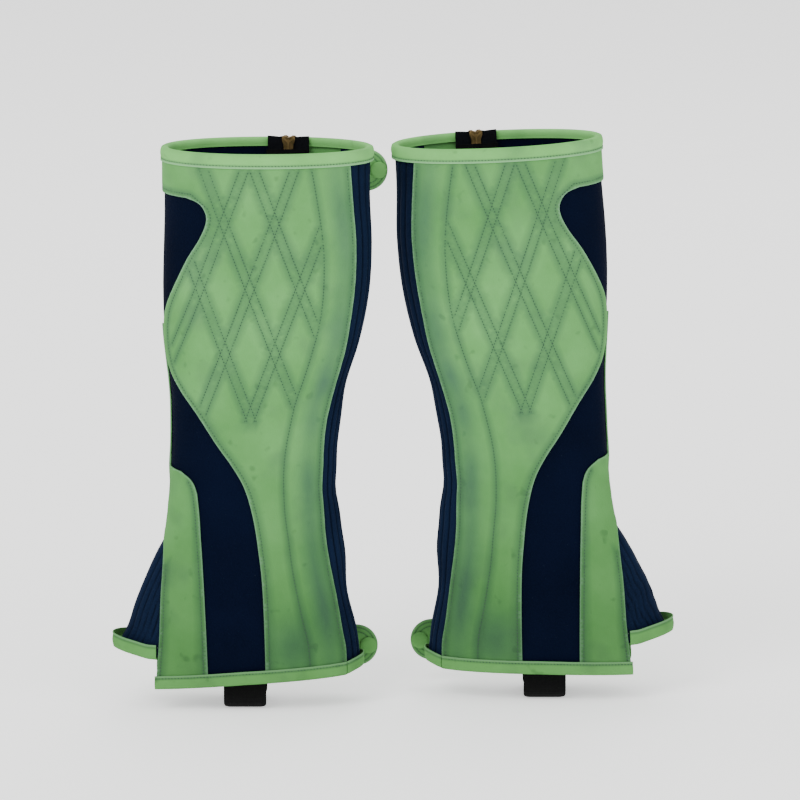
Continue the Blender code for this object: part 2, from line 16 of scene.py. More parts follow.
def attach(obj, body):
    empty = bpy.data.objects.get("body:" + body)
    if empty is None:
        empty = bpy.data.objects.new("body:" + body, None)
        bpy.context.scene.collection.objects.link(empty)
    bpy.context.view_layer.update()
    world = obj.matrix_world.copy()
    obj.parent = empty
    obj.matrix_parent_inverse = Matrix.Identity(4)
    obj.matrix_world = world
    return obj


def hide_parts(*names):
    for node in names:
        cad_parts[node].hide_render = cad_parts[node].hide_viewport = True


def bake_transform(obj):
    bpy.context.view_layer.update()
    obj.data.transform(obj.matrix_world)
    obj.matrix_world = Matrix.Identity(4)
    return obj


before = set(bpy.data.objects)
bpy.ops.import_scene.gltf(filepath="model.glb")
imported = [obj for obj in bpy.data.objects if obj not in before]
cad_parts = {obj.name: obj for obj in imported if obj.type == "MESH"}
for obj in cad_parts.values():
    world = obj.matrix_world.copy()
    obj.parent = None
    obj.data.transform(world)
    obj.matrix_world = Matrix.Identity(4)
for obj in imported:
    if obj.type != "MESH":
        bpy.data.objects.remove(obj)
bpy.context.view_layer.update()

MM = 0.001
TAU = math.tau

# ---- the leg's shape, as in the CAD model: (height, distance) ----

FRONT_EDGE = ((-6, -115), (45, -115), (59, -108), (75, -103), (98, -93.6), (116, -85), (130, -77.5),
              (164, -72.8), (187, -72.8), (241, -73.7), (280, -77), (432, -77))
BACK_EDGE = ((-6, 68.5), (37, 68.3), (57, 66), (87, 59), (118, 57.5), (141, 54), (164, 50.6), (187, 50.6),
             (226, 55), (241, 57), (279, 68.3), (318, 75.8), (353, 78), (395, 76.4), (432, 76.4))
INNER_DEPTH = ((-6, 33), (57, 32), (118, 27), (164, 25), (226, 28), (279, 34), (353, 39), (432, 38))
POWER = 2.1
SHELL_TOP = 425.2
ZIP_X = 15.5
ZIP_TURN = math.radians(-10.5)
TAPE_INSET = 4.9
SLIDER_TOP = 428.5
FRONT_OF_ZIP = 8.0
BEHIND_ZIP = 23.0
REAR_TEETH_TOP = 397.5
# Panels start this far above the lower line of the hem, inside its binding.
HEM_RISE = 2.2
CALF_SEAM = ((58, -20), (57.5, 39), (54.4, 60), (49.8, 87), (43.5, 123), (40.5, 155), (39.8, 178), (42, 213),
             (46.5, 236), (55.9, 271), (59.5, 290), (63.8, 324), (65.2, 353), (64.4, 376), (59.5, 440))
OUTER_SEAM = ((41, -20), (41, 20), (38, 100), (36, 178), (40, 230), (50, 290), (55, 353), (55, 440))
HEM_LINE = ((-150, 14), (-85, 16), (-20, 21), (57, 25), (68.5, 29), (120, 29))
WING_EDGE = ((-84.8, -20), (-84.8, 14), (-83, 40), (-81.7, 57), (-80.5, 87), (-78, 118), (-77.3, 130))
GRIP_FRONT = ((-2.6, -20), (-2.6, 37), (-4.5, 92), (-7.5, 122), (-11.3, 147), (-17.5, 170), (-26.7, 187),
              (-39, 205), (-53, 227), (-65.5, 245), (-73.4, 262), (-76.4, 285), (-74, 310), (-61.5, 342),
              (-50, 362), (-44.8, 375), (-45.8, 383.5), (-51, 389.5), (-60, 392.4), (-80, 393))
STRIP_BACK = ((-45, -20), (-45.8, 34), (-48.8, 100), (-52.4, 156), (-54.2, 168), (-58, 175), (-65.7, 181),
              (-75, 184))
INSTEP_HEM = ((-140, 48), (-116, 43.5), (-103.4, 41.5), (-90.7, 39), (-60, 38.5))
# The stitched seam between the grip panel's field and its rear strip, from the hem up.
STRIP_SEAM = ((31, 20), (30.5, 39), (29, 53), (25.5, 68), (21.5, 87), (17.7, 108), (14.8, 131), (12, 153),
              (11.2, 175), (12.4, 197), (17, 222), (20.8, 238), (25, 250), (30.7, 268), (37.1, 292),
              (40.5, 315), (41.5, 345), (40, 368), (35.8, 398), (31.9, 420))


def smooth_value(points, at):
    heights, values = (np.array(column, float) for column in zip(*points))
    slopes = np.gradient(values, heights)
    at = np.asarray(at, float)
    i = np.clip(np.searchsorted(heights, at) - 1, 0, len(heights) - 2)
    span = heights[i + 1] - heights[i]
    t = np.clip((at - heights[i]) / span, 0, 1)
    return ((1 + 2 * t) * (1 - t) ** 2 * values[i] + t * (1 - t) ** 2 * span * slopes[i]
            + t * t * (3 - 2 * t) * values[i + 1] + t * t * (t - 1) * span * slopes[i + 1])


def zip_depth(z):
    return 30.0 + 7.5 * np.asarray(z, float) / 430.0


HEIGHTS = np.arange(-12, 446, 0.5)
FRONT, BACK = smooth_value(FRONT_EDGE, HEIGHTS), smooth_value(BACK_EDGE, HEIGHTS)
CENTRE, HALF = (FRONT + BACK) / 2, (BACK - FRONT) / 2
INNER = smooth_value(INNER_DEPTH, HEIGHTS)
OUTER = zip_depth(HEIGHTS) / (1 - np.abs((ZIP_X - CENTRE) / HALF) ** POWER) ** (1 / POWER)


def oval(z):
    return [np.interp(z, HEIGHTS, column) for column in (CENTRE, HALF, INNER, OUTER)]


SIDE_SEED = {"right": 3, "left": 11}
WAVES = {}
for side_name, seed in SIDE_SEED.items():
    chance = random.Random(seed)
    WAVES[side_name] = [(chance.uniform(0.8, 3.4), chance.uniform(0.012, 0.055) * chance.choice((-1, 1)),
                         chance.uniform(0, TAU), chance.uniform(0.12, 0.34)) for _ in range(9)]
CURRENT = {"side": "right"}


def slack(angle, z):
    """How far the soft wall stands in or out of its ideal shape, in millimetres."""
    total = 0.0
    for turns, per_mm, phase, size in WAVES[CURRENT["side"]]:
        total = total + size * np.sin(turns * angle + per_mm * z + phase)
    # Soft folds gather where the leg narrows to the ankle.
    folds = np.exp(-((z - 165) / 34) ** 2) * 0.45 * np.sin(0.17 * z + 1.7 * np.cos(angle * 2 + 0.5))
    # The wall is calmer near the top and the hem, where bindings and snaps hold it.
    return (total + folds) * np.clip((SHELL_TOP + 15 - z) / 60, 0.25, 1) * np.clip((z - 8) / 60, 0.25, 1)


def wall(angle, z, offset=0.0, wavy=True):
    """Points on the wall and the outward directions there. Angle 0 is the shin, 90 degrees the inner side."""
    angle, z, offset = np.broadcast_arrays(*(np.asarray(v, float) for v in (angle, z, offset)))
    centre, half, inner, outer = oval(z)
    c, s = np.cos(angle), np.sin(angle)
    depth = np.where(s > 0, inner, outer)
    x = -np.sign(c) * np.abs(c) ** (2 / POWER)
    y = -np.sign(s) * np.abs(s) ** (2 / POWER)
    nx = np.sign(x) * np.abs(x) ** (POWER - 1) / half
    ny = np.sign(y) * np.abs(y) ** (POWER - 1) / depth
    size = np.hypot(nx, ny)
    nx, ny = nx / size, ny / size
    if wavy:
        offset = offset + slack(angle, z)
    points = np.stack([centre + half * x + nx * offset, depth * y + ny * offset, z], -1)
    return points, np.stack([nx, ny, np.zeros_like(nx)], -1)


def angle_at(x, z, side):
    """The angle of the point above x; side is 1 on the inner wall and -1 on the outer wall."""
    centre, half, _, _ = oval(z)
    t = np.clip((np.asarray(x, float) - centre) / half, -1, 1)
    return side * np.arccos(np.clip(-np.sign(t) * np.abs(t) ** (POWER / 2), -1, 1))


def rounded_line(points, step=4.0):
    """A smooth curve through points, sampled every step along its length."""
    p = np.array(points, float)
    p = np.vstack([2 * p[0] - p[1], p, 2 * p[-1] - p[-2]])
    out = []
    for a, b, c, d in zip(p, p[1:], p[2:], p[3:]):
        for t in np.linspace(0, 1, max(int(np.linalg.norm(c - b) / 1.0), 2), endpoint=False):
            out.append(0.5 * (2 * b + (c - a) * t + (2 * a - 5 * b + 4 * c - d) * t * t
                              + (3 * b - a - 3 * c + d) * t ** 3))
    out.append(p[-2])
    return resampled(np.array(out), step)


def resampled(line, step):
    line = np.asarray(line, float)
    run = np.concatenate([[0], np.cumsum(np.linalg.norm(np.diff(line, axis=0), axis=1))])
    count = max(int(round(run[-1] / step)), 1)
    at = np.linspace(0, run[-1], count + 1)
    return np.stack([np.interp(at, run, line[:, k]) for k in range(line.shape[1])], -1)


def x_at(line, z):
    """x on an upward (x, z) line at height z."""
    line = np.asarray(line, float)
    return np.interp(z, line[:, 1], line[:, 0])


def clipped(line, low, high):
    """The part of an upward (x, z) line between two heights."""
    line = np.asarray(line, float)
    between = line[(line[:, 1] > low + 0.3) & (line[:, 1] < high - 0.3)]
    return np.vstack([[x_at(line, low), low], between, [x_at(line, high), high]])


def shifted(line, x):
    return [(px + x, pz) for px, pz in line]


def hem_height(x):
    return np.interp(x, *(np.array(column, float) for column in zip(*HEM_LINE)))


def hem_cut(line):
    """Starts an upward (x, z) line where it meets the hem."""
    keep = line[line[:, 1] > hem_height(line[:, 0]) + HEM_RISE]
    x = x_at(line, keep[0, 1] - 2)
    return np.vstack([[x, hem_height(x) + HEM_RISE], keep])


def around(line, side):
    """An (x, z) line as (angle, z) on one wall."""
    line = np.asarray(line, float)
    return np.stack([angle_at(line[:, 0], line[:, 1], side), line[:, 1]], -1)


def beside(points, low, high, side, x=0.0, step=4.0):
    """An (x, z) outline between two heights, moved by x, as (angle, z) on one wall."""
    return around(shifted(clipped(rounded_line(points, step), low, high), x), side)


def straight(angle, z, end_angle, end_z, count):
    return np.stack([np.linspace(angle, end_angle, count), np.linspace(z, end_z, count)], -1)


def along_height(z, start, end, step=0.05):
    return straight(start, z, end, z, max(int(abs(end - start) / step), 1) + 1)


def along_hem(start_x, end_x, side):
    """The points of a panel's lower edge between two corners, without the corners."""
    x = np.linspace(start_x, end_x, max(int(abs(end_x - start_x) / 4), 2) + 1)[1:-1]
    return around(np.stack([x, hem_height(x) + HEM_RISE], -1), side)


# ---- materials ----

MATERIALS = {}


def srgb(r, g, b):
    return tuple(((c / 255) / 12.92 if c / 255 <= 0.04045 else ((c / 255 + 0.055) / 1.055) ** 2.4)
                 for c in (r, g, b)) + (1.0,)


class Nodes:
    """A short way to write a node tree."""

    def __init__(self, name):
        self.material = bpy.data.materials.new(name)
        self.material.use_nodes = True
        self.tree = self.material.node_tree
        self.shader = self.tree.nodes["Principled BSDF"]
        MATERIALS[name] = self.material

    def add(self, kind, inputs=(), **settings):
        node = self.tree.nodes.new(kind)
        for key, value in settings.items():
            setattr(node, key, value)
        for key, value in dict(inputs).items():
            self.feed(node.inputs[key], value)
        return node

    def feed(self, socket, value):
        if isinstance(value, bpy.types.NodeSocket):
            self.tree.links.new(value, socket)
        else:
            socket.default_value = value

    def math(self, operation, *values):
        return self.add("ShaderNodeMath", dict(enumerate(values)), operation=operation).outputs[0]

    def coords(self):
        return self.add("ShaderNodeTexCoord").outputs["Object"]

    def mapped(self, **settings):
        """Object coordinates, moved or stretched."""
        return self.add("ShaderNodeMapping", {"Vector": self.coords(), **settings}).outputs[0]

    def noise(self, scale, detail=3.0, rough=0.5, vector=None):
        return self.add("ShaderNodeTexNoise", {"Vector": vector or self.coords(), "Scale": scale,
                                               "Detail": detail, "Roughness": rough}).outputs["Fac"]

    def wave(self, scale, distortion, direction, **inputs):
        return self.add("ShaderNodeTexWave", {"Vector": self.coords(), "Scale": scale,
                                              "Distortion": distortion, **inputs},
                        bands_direction=direction).outputs["Fac"]

    def ramp(self, value, low, high):
        return self.add("ShaderNodeMapRange", {"Value": value, "From Min": low, "From Max": high}).outputs[0]

    def mix(self, factor, a, b, blend="MIX"):
        node = self.add("ShaderNodeMix", data_type="RGBA", blend_type=blend)
        self.feed(node.inputs["Factor"], factor)
        self.feed(node.inputs[6], a)
        self.feed(node.inputs[7], b)
        return node.outputs[2]

    def tint(self, colour, where, share, towards):
        """The colour mixed towards another by a share of a mask."""
        return self.mix(self.math("MULTIPLY", where, share), colour, towards)

    def attribute(self, name):
        return self.add("ShaderNodeAttribute", attribute_name=name).outputs["Fac"]

    def bump(self, height, strength, distance):
        return self.add("ShaderNodeBump", {"Height": height, "Strength": strength,
                                           "Distance": distance}).outputs["Normal"]

    def shade(self, **values):
        for key, value in values.items():
            self.feed(self.shader.inputs[key.replace("_", " ")], value)


def suede_material(name, light, deep, edge):
    n = Nodes(name)
    colour = n.mix(n.ramp(n.noise(19, 4, 0.55), 0.3, 0.7), deep, light)
    smudge = n.ramp(n.noise(34, 2, 0.5, n.mapped(Location=(3.1, 1.7, 0.4))), 0.54, 0.76)
    colour = n.tint(colour, smudge, 0.45, srgb(74, 106, 78))
    colour = n.tint(colour, n.ramp(n.noise(110, 1, 0.4), 0.68, 0.78), 0.36, srgb(54, 82, 56))
    nap = n.noise(1500, 2, 0.6)
    colour = n.tint(colour, n.ramp(nap, 0.3, 0.8), 0.16, light)
    # Painted shade of a fold beside the calf, and a darker patch above the hem.
    colour = n.tint(colour, n.attribute("smear"), 0.8, srgb(62, 92, 78))
    # Painted shade along the stitch grooves.
    colour = n.tint(colour, n.attribute("halo"), 0.66, srgb(56, 86, 68))
    colour = n.tint(colour, n.attribute("edge"), 0.75, edge)
    # Painted shade: the lower part is darkened, as less light falls there.
    height_up = n.add("ShaderNodeSeparateXYZ", {"Vector": n.coords()}).outputs["Z"]
    wear_and_shade = n.math("MULTIPLY", n.ramp(height_up, 0.25, 0.05), 0.8)
    colour = n.mix(wear_and_shade, colour, (0.42, 0.44, 0.40, 1), "MULTIPLY")
    height = n.math("ADD", n.math("MULTIPLY", nap, 0.5), n.math("MULTIPLY", n.noise(420, 3, 0.6), 0.8))
    n.shade(Base_Color=colour, Roughness=0.95, Normal=n.bump(height, 0.4, 0.0006), Sheen_Weight=0.05,
            Sheen_Roughness=0.5, Sheen_Tint=srgb(150, 190, 140), Specular_IOR_Level=0.06)


def knit_material(name, base, lift, scale, sheen):
    n = Nodes(name)
    fine = n.add("ShaderNodeTexVoronoi", {"Vector": n.mapped(Scale=(1.0, 1.0, 0.6)),
                                          "Scale": scale}).outputs["Distance"]
    colour = n.tint(base, n.ramp(n.noise(16, 3, 0.5), 0.3, 0.75), 0.6, lift)
    colour = n.tint(colour, n.ramp(fine, 0.1, 0.6), 0.35, lift)
    # Painted shade in the rib valleys and the stitch grooves.
    colour = n.tint(colour, n.attribute("halo"), 0.7, srgb(1, 3, 8))
    # Specks of lint.
    colour = n.tint(colour, n.ramp(n.noise(900, 1, 0.4), 0.79, 0.83), 0.25, srgb(70, 80, 92))
    n.shade(Base_Color=colour, Roughness=0.88, Normal=n.bump(fine, 0.5, 0.0004), Sheen_Weight=sheen,
            Sheen_Roughness=0.5, Sheen_Tint=srgb(60, 80, 120), Specular_IOR_Level=0.04)


def webbing_material(name, base, lift, scale):
    """A woven band: rows of small picks across the height of the band."""
    n = Nodes(name)
    picks = n.math("ADD", n.wave(scale * 0.7, 0.8, "Z"), n.wave(scale * 0.7, 0.8, "Y"))
    weave = n.math("MULTIPLY", n.wave(scale, 0.5, "X", Detail=1.0), n.math("MULTIPLY", picks, 0.5))
    colour = n.mix(n.ramp(weave, 0.1, 0.8), base, lift)
    colour = n.tint(colour, n.ramp(n.noise(700, 2), 0.66, 0.74), 0.3, srgb(30, 30, 33))
    n.shade(Base_Color=colour, Roughness=0.82, Normal=n.bump(weave, 0.7, 0.0005), Specular_IOR_Level=0.12)


def metal_material(name, base, wear_and_shade, roughness, scale):
    n = Nodes(name)
    patches = n.ramp(n.noise(scale, 4, 0.6), 0.42, 0.62)
    scratches = n.noise(scale * 9, 2, 0.5, n.mapped(Scale=(1.0, 1.0, 6.0)))
    edge = n.ramp(n.add("ShaderNodeNewGeometry").outputs["Pointiness"], 0.5, 0.58)
    colour = n.mix(n.math("MAXIMUM", n.math("MULTIPLY", patches, 0.6), edge), base, wear_and_shade)
    n.shade(Base_Color=colour, Metallic=1.0, Normal=n.bump(scratches, 0.12, 0.0002),
            Roughness=n.math("ADD", n.math("MULTIPLY", patches, -0.14), roughness))


def plastic_material(name, base, lift):
    n = Nodes(name)
    grain = n.noise(600, 2, 0.5)
    n.shade(Base_Color=n.mix(grain, base, lift), Normal=n.bump(grain, 0.12, 0.0002),
            Roughness=n.math("ADD", n.math("MULTIPLY", grain, 0.2), 0.34))


def thread_material(name, base, lift):
    n = Nodes(name)
    twist = n.wave(520.0, 0.6, "DIAGONAL")
    n.shade(Base_Color=n.mix(twist, base, lift), Roughness=0.7, Normal=n.bump(twist, 0.4, 0.0002))


suede_material("suede", srgb(98, 158, 90), srgb(80, 136, 73), srgb(116, 156, 128))
suede_material("binding_suede", srgb(116, 184, 104), srgb(100, 164, 88), srgb(122, 170, 124))
knit_material("navy_knit", srgb(0, 3, 15), srgb(4, 12, 34), 1500.0, 0.02)
knit_material("navy_rib", srgb(4, 10, 25), srgb(17, 31, 55), 1100.0, 0.1)
webbing_material("black_webbing", srgb(0, 0, 0), srgb(3, 3, 4), 320.0)
webbing_material("zip_tape", srgb(1, 2, 6), srgb(11, 14, 22), 700.0)
webbing_material("guard_tape", srgb(2, 2, 3), srgb(12, 12, 16), 420.0)
metal_material("antique_brass", srgb(70, 58, 40), srgb(140, 116, 76), 0.46, 300.0)
metal_material("warm_nickel", srgb(170, 162, 148), srgb(222, 214, 198), 0.36, 260.0)
plastic_material("black_teeth", srgb(7, 7, 10), srgb(24, 24, 30))
thread_material("green_thread", srgb(16, 38, 30), srgb(34, 62, 48))

# ---- mesh helpers ----

LEAN = math.radians(-2.6)
FLIP = Matrix.Diagonal((-1, 1, 1, 1))
SCALE = Matrix.Scale(MM, 4)
LEFT_PLACE = SCALE @ Matrix.Translation((96.0, 13.5, 0))
PLACES = {"right": SCALE @ Matrix.Translation((-94.0, -16.5, 0)),
          "left": LEFT_PLACE @ Matrix.Rotation(LEAN, 4, "Y") @ FLIP}
# The straps stand level on the floor, whichever way the gaiter leans.
LEVEL = {"right": PLACES["right"], "left": LEFT_PLACE @ FLIP}


def make_object(name, verts, faces, material, body, slot=None, attributes=None, sharp=40, level=False):
    """Places a mesh given in the right gaiter's millimetres on the current side, riding its body."""
    side = CURRENT["side"]
    mesh = bpy.data.meshes.new(name)
    mesh.from_pydata([tuple(v) for v in verts], [], [tuple(int(i) for i in f) for f in faces])
    mesh.transform((LEVEL if level else PLACES)[side])
    if side == "left":
        mesh.flip_normals()
    for key, values in (attributes or {}).items():
        mesh.attributes.new(key, "FLOAT", "POINT").data.foreach_set("value", np.asarray(values, np.float32))
    mesh.materials.append(MATERIALS[material])
    mesh.shade_smooth()
    mesh.set_sharp_from_angle(angle=math.radians(sharp))
    obj = bpy.data.objects.new(f"{side}_{name}_look", mesh)
    bpy.context.scene.collection.objects.link(obj)
    if body:
        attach(obj, f"{side}_{body}")
    return obj


def solid_object(*mesh, **settings):
    """An object like make_object's, with every face turned outwards."""
    obj = make_object(*mesh, **settings)
    bm = bmesh.new()
    bm.from_mesh(obj.data)
    bmesh.ops.recalc_face_normals(bm, faces=bm.faces[:])
    bm.to_mesh(obj.data)
    bm.free()
    return obj


def tube_faces(size, rings):
    """Faces through rings of points, one after the other, with a cap at each end."""
    faces = []
    for i in range(rings - 1):
        for k in range(size):
            a, b = i * size + k, i * size + (k + 1) % size
            faces.append((a, b, b + size, a + size))
    return faces + [tuple(range(size))[::-1], tuple(range((rings - 1) * size, rings * size))]


def slab_faces(rows, columns):
    """Faces of two grids of (rows + 1) by (columns + 1) points, joined round their edges."""
    wide, base = columns + 1, (rows + 1) * (columns + 1)
    faces = []
    for i in range(rows):
        for k in range(columns):
            a = i * wide + k
            quad = (a, a + 1, a + wide + 1, a + wide)
            faces += [quad, tuple(base + corner for corner in quad[::-1])]
        for a in (i * wide, i * wide + columns):
            faces.append((a, a + wide, base + a + wide, base + a))
    for k in range(columns):
        for a in (k, rows * wide + k):
            faces.append((a, base + a, base + a + 1, a + 1))
    return faces


def joined(name, parts, material, body, slot, sharp=35):
    """One object from several (verts, faces) parts."""
    verts, faces = [], []
    for part_verts, part_faces in parts:
        faces += [tuple(i + len(verts) for i in face) for face in part_faces]
        verts += list(part_verts)
    return solid_object(name, verts, faces, material, body, slot, sharp=sharp)


# An angle is drawn flat as this many millimetres to the radian, near enough to the leg's size.
U_SCALE = 50.0
FLAT = (U_SCALE, 1)


def inside(points, polygon):
    """Even-odd test of many points against one closed polygon."""
    x, y = points[:, 0:1], points[:, 1:2]
    x1, y1 = polygon[:, 0], polygon[:, 1]
    x2, y2 = np.roll(x1, -1), np.roll(y1, -1)
    crosses = (y1 > y) != (y2 > y)
    with np.errstate(divide="ignore", invalid="ignore"):
        at = (x2 - x1) * (y - y1) / (y2 - y1) + x1
    return (np.sum(crosses & (x < at), axis=1) % 2) == 1


def tree_of(points):
    tree = KDTree(len(points))
    for i, point in enumerate(points):
        tree.insert(point, i)
    tree.balance()
    return tree


def distances(tree, points):
    return np.array([tree.find(p)[2] for p in points])


def flat_tree(flat):
    return tree_of([(u, z, 0) for u, z in flat])


def far_from(tree, points, least):
    """Those of the (angle, z) points that lie further than least from a flat tree's."""
    if not len(points):
        return points
    return points[distances(tree, [(angle * U_SCALE, z, 0) for angle, z in points]) > least]


def dense(line):
    """An (angle, z) line as points on the wall, about 0.8 mm apart."""
    return resampled(wall(line[:, 0], line[:, 1], 0, False)[0], 0.8)


def flat_mesh(border, step_angle, step_z, extra=None):
    """A triangulated sheet inside a closed (angle, z) border, with extra points where detail is needed."""
    least = 0.25
    keep = [border[0]]
    for point in border[1:]:
        if math.hypot((point[0] - keep[-1][0]) * U_SCALE, point[1] - keep[-1][1]) > least:
            keep.append(point)
    if math.hypot((keep[0][0] - keep[-1][0]) * U_SCALE, keep[0][1] - keep[-1][1]) < least:
        keep.pop()
    border = np.array(keep)
    flat = border * FLAT
    low, high = border.min(0), border.max(0)
    angles = np.arange(low[0] + step_angle / 2, high[0], step_angle)
    rows = np.arange(low[1] + step_z / 2, high[1], step_z)
    grid = np.array([(angle + (j % 2) * step_angle / 2, z) for j, z in enumerate(rows) for angle in angles])
    grid = grid.reshape(-1, 2)
    border_tree = flat_tree(resampled(np.vstack([flat, flat[:1]]), 1.0))
    points = far_from(border_tree, grid[inside(grid * FLAT, flat)], 1.6)
    if extra is not None and len(extra):
        extra = far_from(border_tree, extra[inside(extra * FLAT, flat)], 0.45)
        kept, cells, cell_size = [], set(), 0.9
        for p in extra:
            cell = (round(p[0] * U_SCALE / cell_size), round(p[1] / cell_size))
            if cell not in cells:
                cells.add(cell)
                kept.append(p)
        extra = np.array(kept).reshape(-1, 2)
        points = np.vstack([far_from(flat_tree(extra * FLAT), points, 2.2), extra])
    every = np.vstack([border, points]) if len(points) else border
    count = len(border)
    verts, _, faces, _, _, _ = delaunay_2d_cdt([Vector((u * U_SCALE, z)) for u, z in every], [],
                                               [list(range(count))], 1, 1e-6)
    # The first vertices out are the border's, in order, unless two fell together.
    return np.array([(v.x / U_SCALE, v.y) for v in verts]), [tuple(f) for f in faces], count


def oriented(faces, flat, up):
    """Faces turned so that they run anticlockwise in (angle, z), or clockwise."""
    fixed = []
    for f in faces:
        a, b, c = (flat[i] for i in f[:3])
        turn = (b[0] - a[0]) * (c[1] - a[1]) - (b[1] - a[1]) * (c[0] - a[0])
        fixed.append(f if (turn > 0) == up else f[::-1])
    return fixed


def loop_area(points):
    """Twice the signed area inside a closed line."""
    x, y = points[:, 0], points[:, 1]
    return np.sum(x * np.roll(y, -1) - np.roll(x, -1) * y)


def rows_beside(line, step, fars):
    """Rows of (angle, z) points at each distance to the side of a line."""
    run = resampled(line * FLAT, step)
    ahead = np.gradient(run, axis=0)
    ahead /= np.linalg.norm(ahead, axis=1)[:, None] + 1e-9
    across = np.stack([-ahead[:, 1], ahead[:, 0]], -1)
    return [(run + across * far) / FLAT for far in fars]


def layer(name, border, front, back, material, body, slot, seams=(), fine=(0.075, 8.0), smear=None,
          edge_width=0.8):
    """A cloth panel between two offsets, with stitched seams pressed in, and a rounded, paler cut edge."""
    coarse, groove_depth = (0.13, 16.0), 0.35
    extra = []
    for line in seams:
        extra += rows_beside(line, 4.0, (-4.2, -1.3, 0, 1.3, 4.2))
    if edge_width:
        ring = np.array(border)
        extra += rows_beside(np.vstack([ring, ring[:1]]), 3.2,
                             (-edge_width, edge_width, -edge_width * 2.2, edge_width * 2.2))
    if extra:
        extra = np.vstack(extra)
        extra = extra[(extra[:, 1] > -10) & (extra[:, 1] < 440)]
    front_flat, front_faces, count = flat_mesh(border, *fine, extra)
    back_flat, back_faces, back_count = flat_mesh(border, *coarse)
    halo, groove, edge, fold_shades = np.zeros((4, len(front_flat)))
    points, _ = wall(*front_flat.T, 0, False)
    if seams:
        seam_far = distances(tree_of(np.vstack([dense(line) for line in seams])), points)
        groove = groove_depth * np.exp(-(seam_far / 1.1) ** 2)
        # Painted shade beside each seam's stitch groove.
        halo = 0.9 * np.exp(-(seam_far / 2.9) ** 2)
    border_points = wall(*(np.vstack([front_flat[:count], front_flat[:1]]).T), 0, False)[0]
    edge_far = distances(tree_of(resampled(border_points, 0.7)), points)
    if edge_width:
        edge = np.clip(1 - edge_far / (edge_width + 0.01), 0, 1)
        edge[:count] = 1.0
    if smear:
        fold_shades = smear(*front_flat.T)
    roll = 0.35 * (front - back) * np.clip(1 - edge_far / 1.2, 0, 1) ** 2
    verts = np.vstack([wall(*front_flat.T, front - groove - roll)[0], wall(*back_flat.T, back)[0]])
    # Angles grow from the shin round the inner side, so anticlockwise faces there point outwards.
    base = len(front_flat)
    faces = oriented(front_faces, front_flat, True)
    faces += [tuple(i + base for i in f) for f in oriented(back_faces, back_flat, False)]
    if back_count == count:
        anticlockwise = loop_area(front_flat[:count]) > 0
        for i in range(count):
            j = (i + 1) % count
            quad = (i, base + i, base + j, j)
            faces.append(quad if anticlockwise else quad[::-1])
    pad = np.zeros(len(back_flat))
    attributes = {"halo": np.concatenate([halo, pad]), "edge": np.concatenate([edge * 0.85, pad]),
                  "smear": np.concatenate([fold_shades, pad])}
    return make_object(name, verts, faces, material, body, slot, attributes)


def walked(points):
    """How far along its line each point is."""
    return np.concatenate([[0], np.cumsum(np.linalg.norm(np.diff(points, axis=0), axis=1))])


def sample(values, at):
    i = int(min(max(math.floor(at), 0), len(values) - 2))
    return values[i] + (values[i + 1] - values[i]) * (at - i)


# A stitch's points along it, across it and up, and its faces.
STITCH_POINTS = ((-1, 0, -0.3), (0, 1, 0), (0, 0, 1), (0, -1, 0), (0, 0, -0.6), (1, 0, -0.3))
STITCH_FACES = ((0, 2, 1), (0, 3, 2), (0, 4, 3), (0, 1, 4), (5, 1, 2), (5, 2, 3), (5, 3, 4), (5, 4, 1))


def stitches(name, lines, offset, body):
    """A row of separate stitches along each (angle, z) line."""
    pitch, length, width, height, groove = 2.4, 1.5, 0.85, 0.45, 0.3
    level = offset - groove + height * 0.35
    verts, faces = [], []
    chance = random.Random(len(lines) * 7 + len(name))
    for line in lines:
        places = wall(line[:, 0], line[:, 1], 0, False)[0]
        run = resampled(places, 0.5)
        count = int(walked(run)[-1] / pitch)
        if count < 1:
            continue
        far = walked(places)
        at = np.linspace(0, far[-1], len(run))
        angles = np.stack([np.interp(at, far, line[:, k]) for k in range(2)], -1)
        for k in range(count):
            at = (k + 0.5) / count * (len(run) - 1)
            here = sample(angles, at)
            step = sample(angles, min(at + 1.2, len(run) - 1.0)) - sample(angles, max(at - 1.2, 0))
            (place,), (normal,) = wall(here[:1], here[1:], level)
            (ahead,), _ = wall(here[:1] + step[:1] * 0.1, here[1:] + step[1:] * 0.1, level)
            forward = ahead - place
            forward /= np.linalg.norm(forward) + 1e-9
            across = np.cross(normal, forward) * width / 2
            forward *= length / 2 * chance.uniform(0.88, 1.08)
            up = normal * height * 0.65
            faces += [tuple(len(verts) + i for i in face) for face in STITCH_FACES]
            verts += [place + forward * f + across * a + up * u for f, a, u in STITCH_POINTS]
    return make_object(name, verts, faces, "green_thread", body, sharp=80)


def sweep(name, line, profile, body, pucker):
    """A binding: a closed profile of (offset, rise) points carried along an (angle, z) line."""
    count, size = len(line), len(profile)
    profile = np.array(profile, float)
    middle = (profile[:, 0].max() + profile[:, 0].min()) / 2
    run = walked(wall(line[:, 0], line[:, 1], 0, False)[0])
    verts = []
    for i, (angle, z) in enumerate(line):
        swell = 1 + pucker * math.sin(run[i] / 2.3 + 1.3 * math.sin(run[i] / 17))
        offsets = middle + (profile[:, 0] - middle) * swell
        for offset, rise in zip(offsets, profile[:, 1]):
            (point,), _ = wall([angle], [z], offset)
            verts.append(point + np.array([0, 0, rise]))
    faces = tube_faces(size, count)
    if (loop_area(profile) > 0) == (line[-1, 0] > line[0, 0]):
        faces = [f[::-1] for f in faces]
    # The third profile point gets painted shade along the stitch row, and the first two are the pale raw edge.
    halo, edge = np.zeros((2, size))
    halo[2] = 0.8
    edge[:2] = 1.0
    attributes = {"halo": np.tile(halo, count), "edge": np.tile(edge, count), "smear": np.zeros(len(verts))}
    return make_object(name, verts, faces, "binding_suede", body, "binding", attributes, sharp=60)


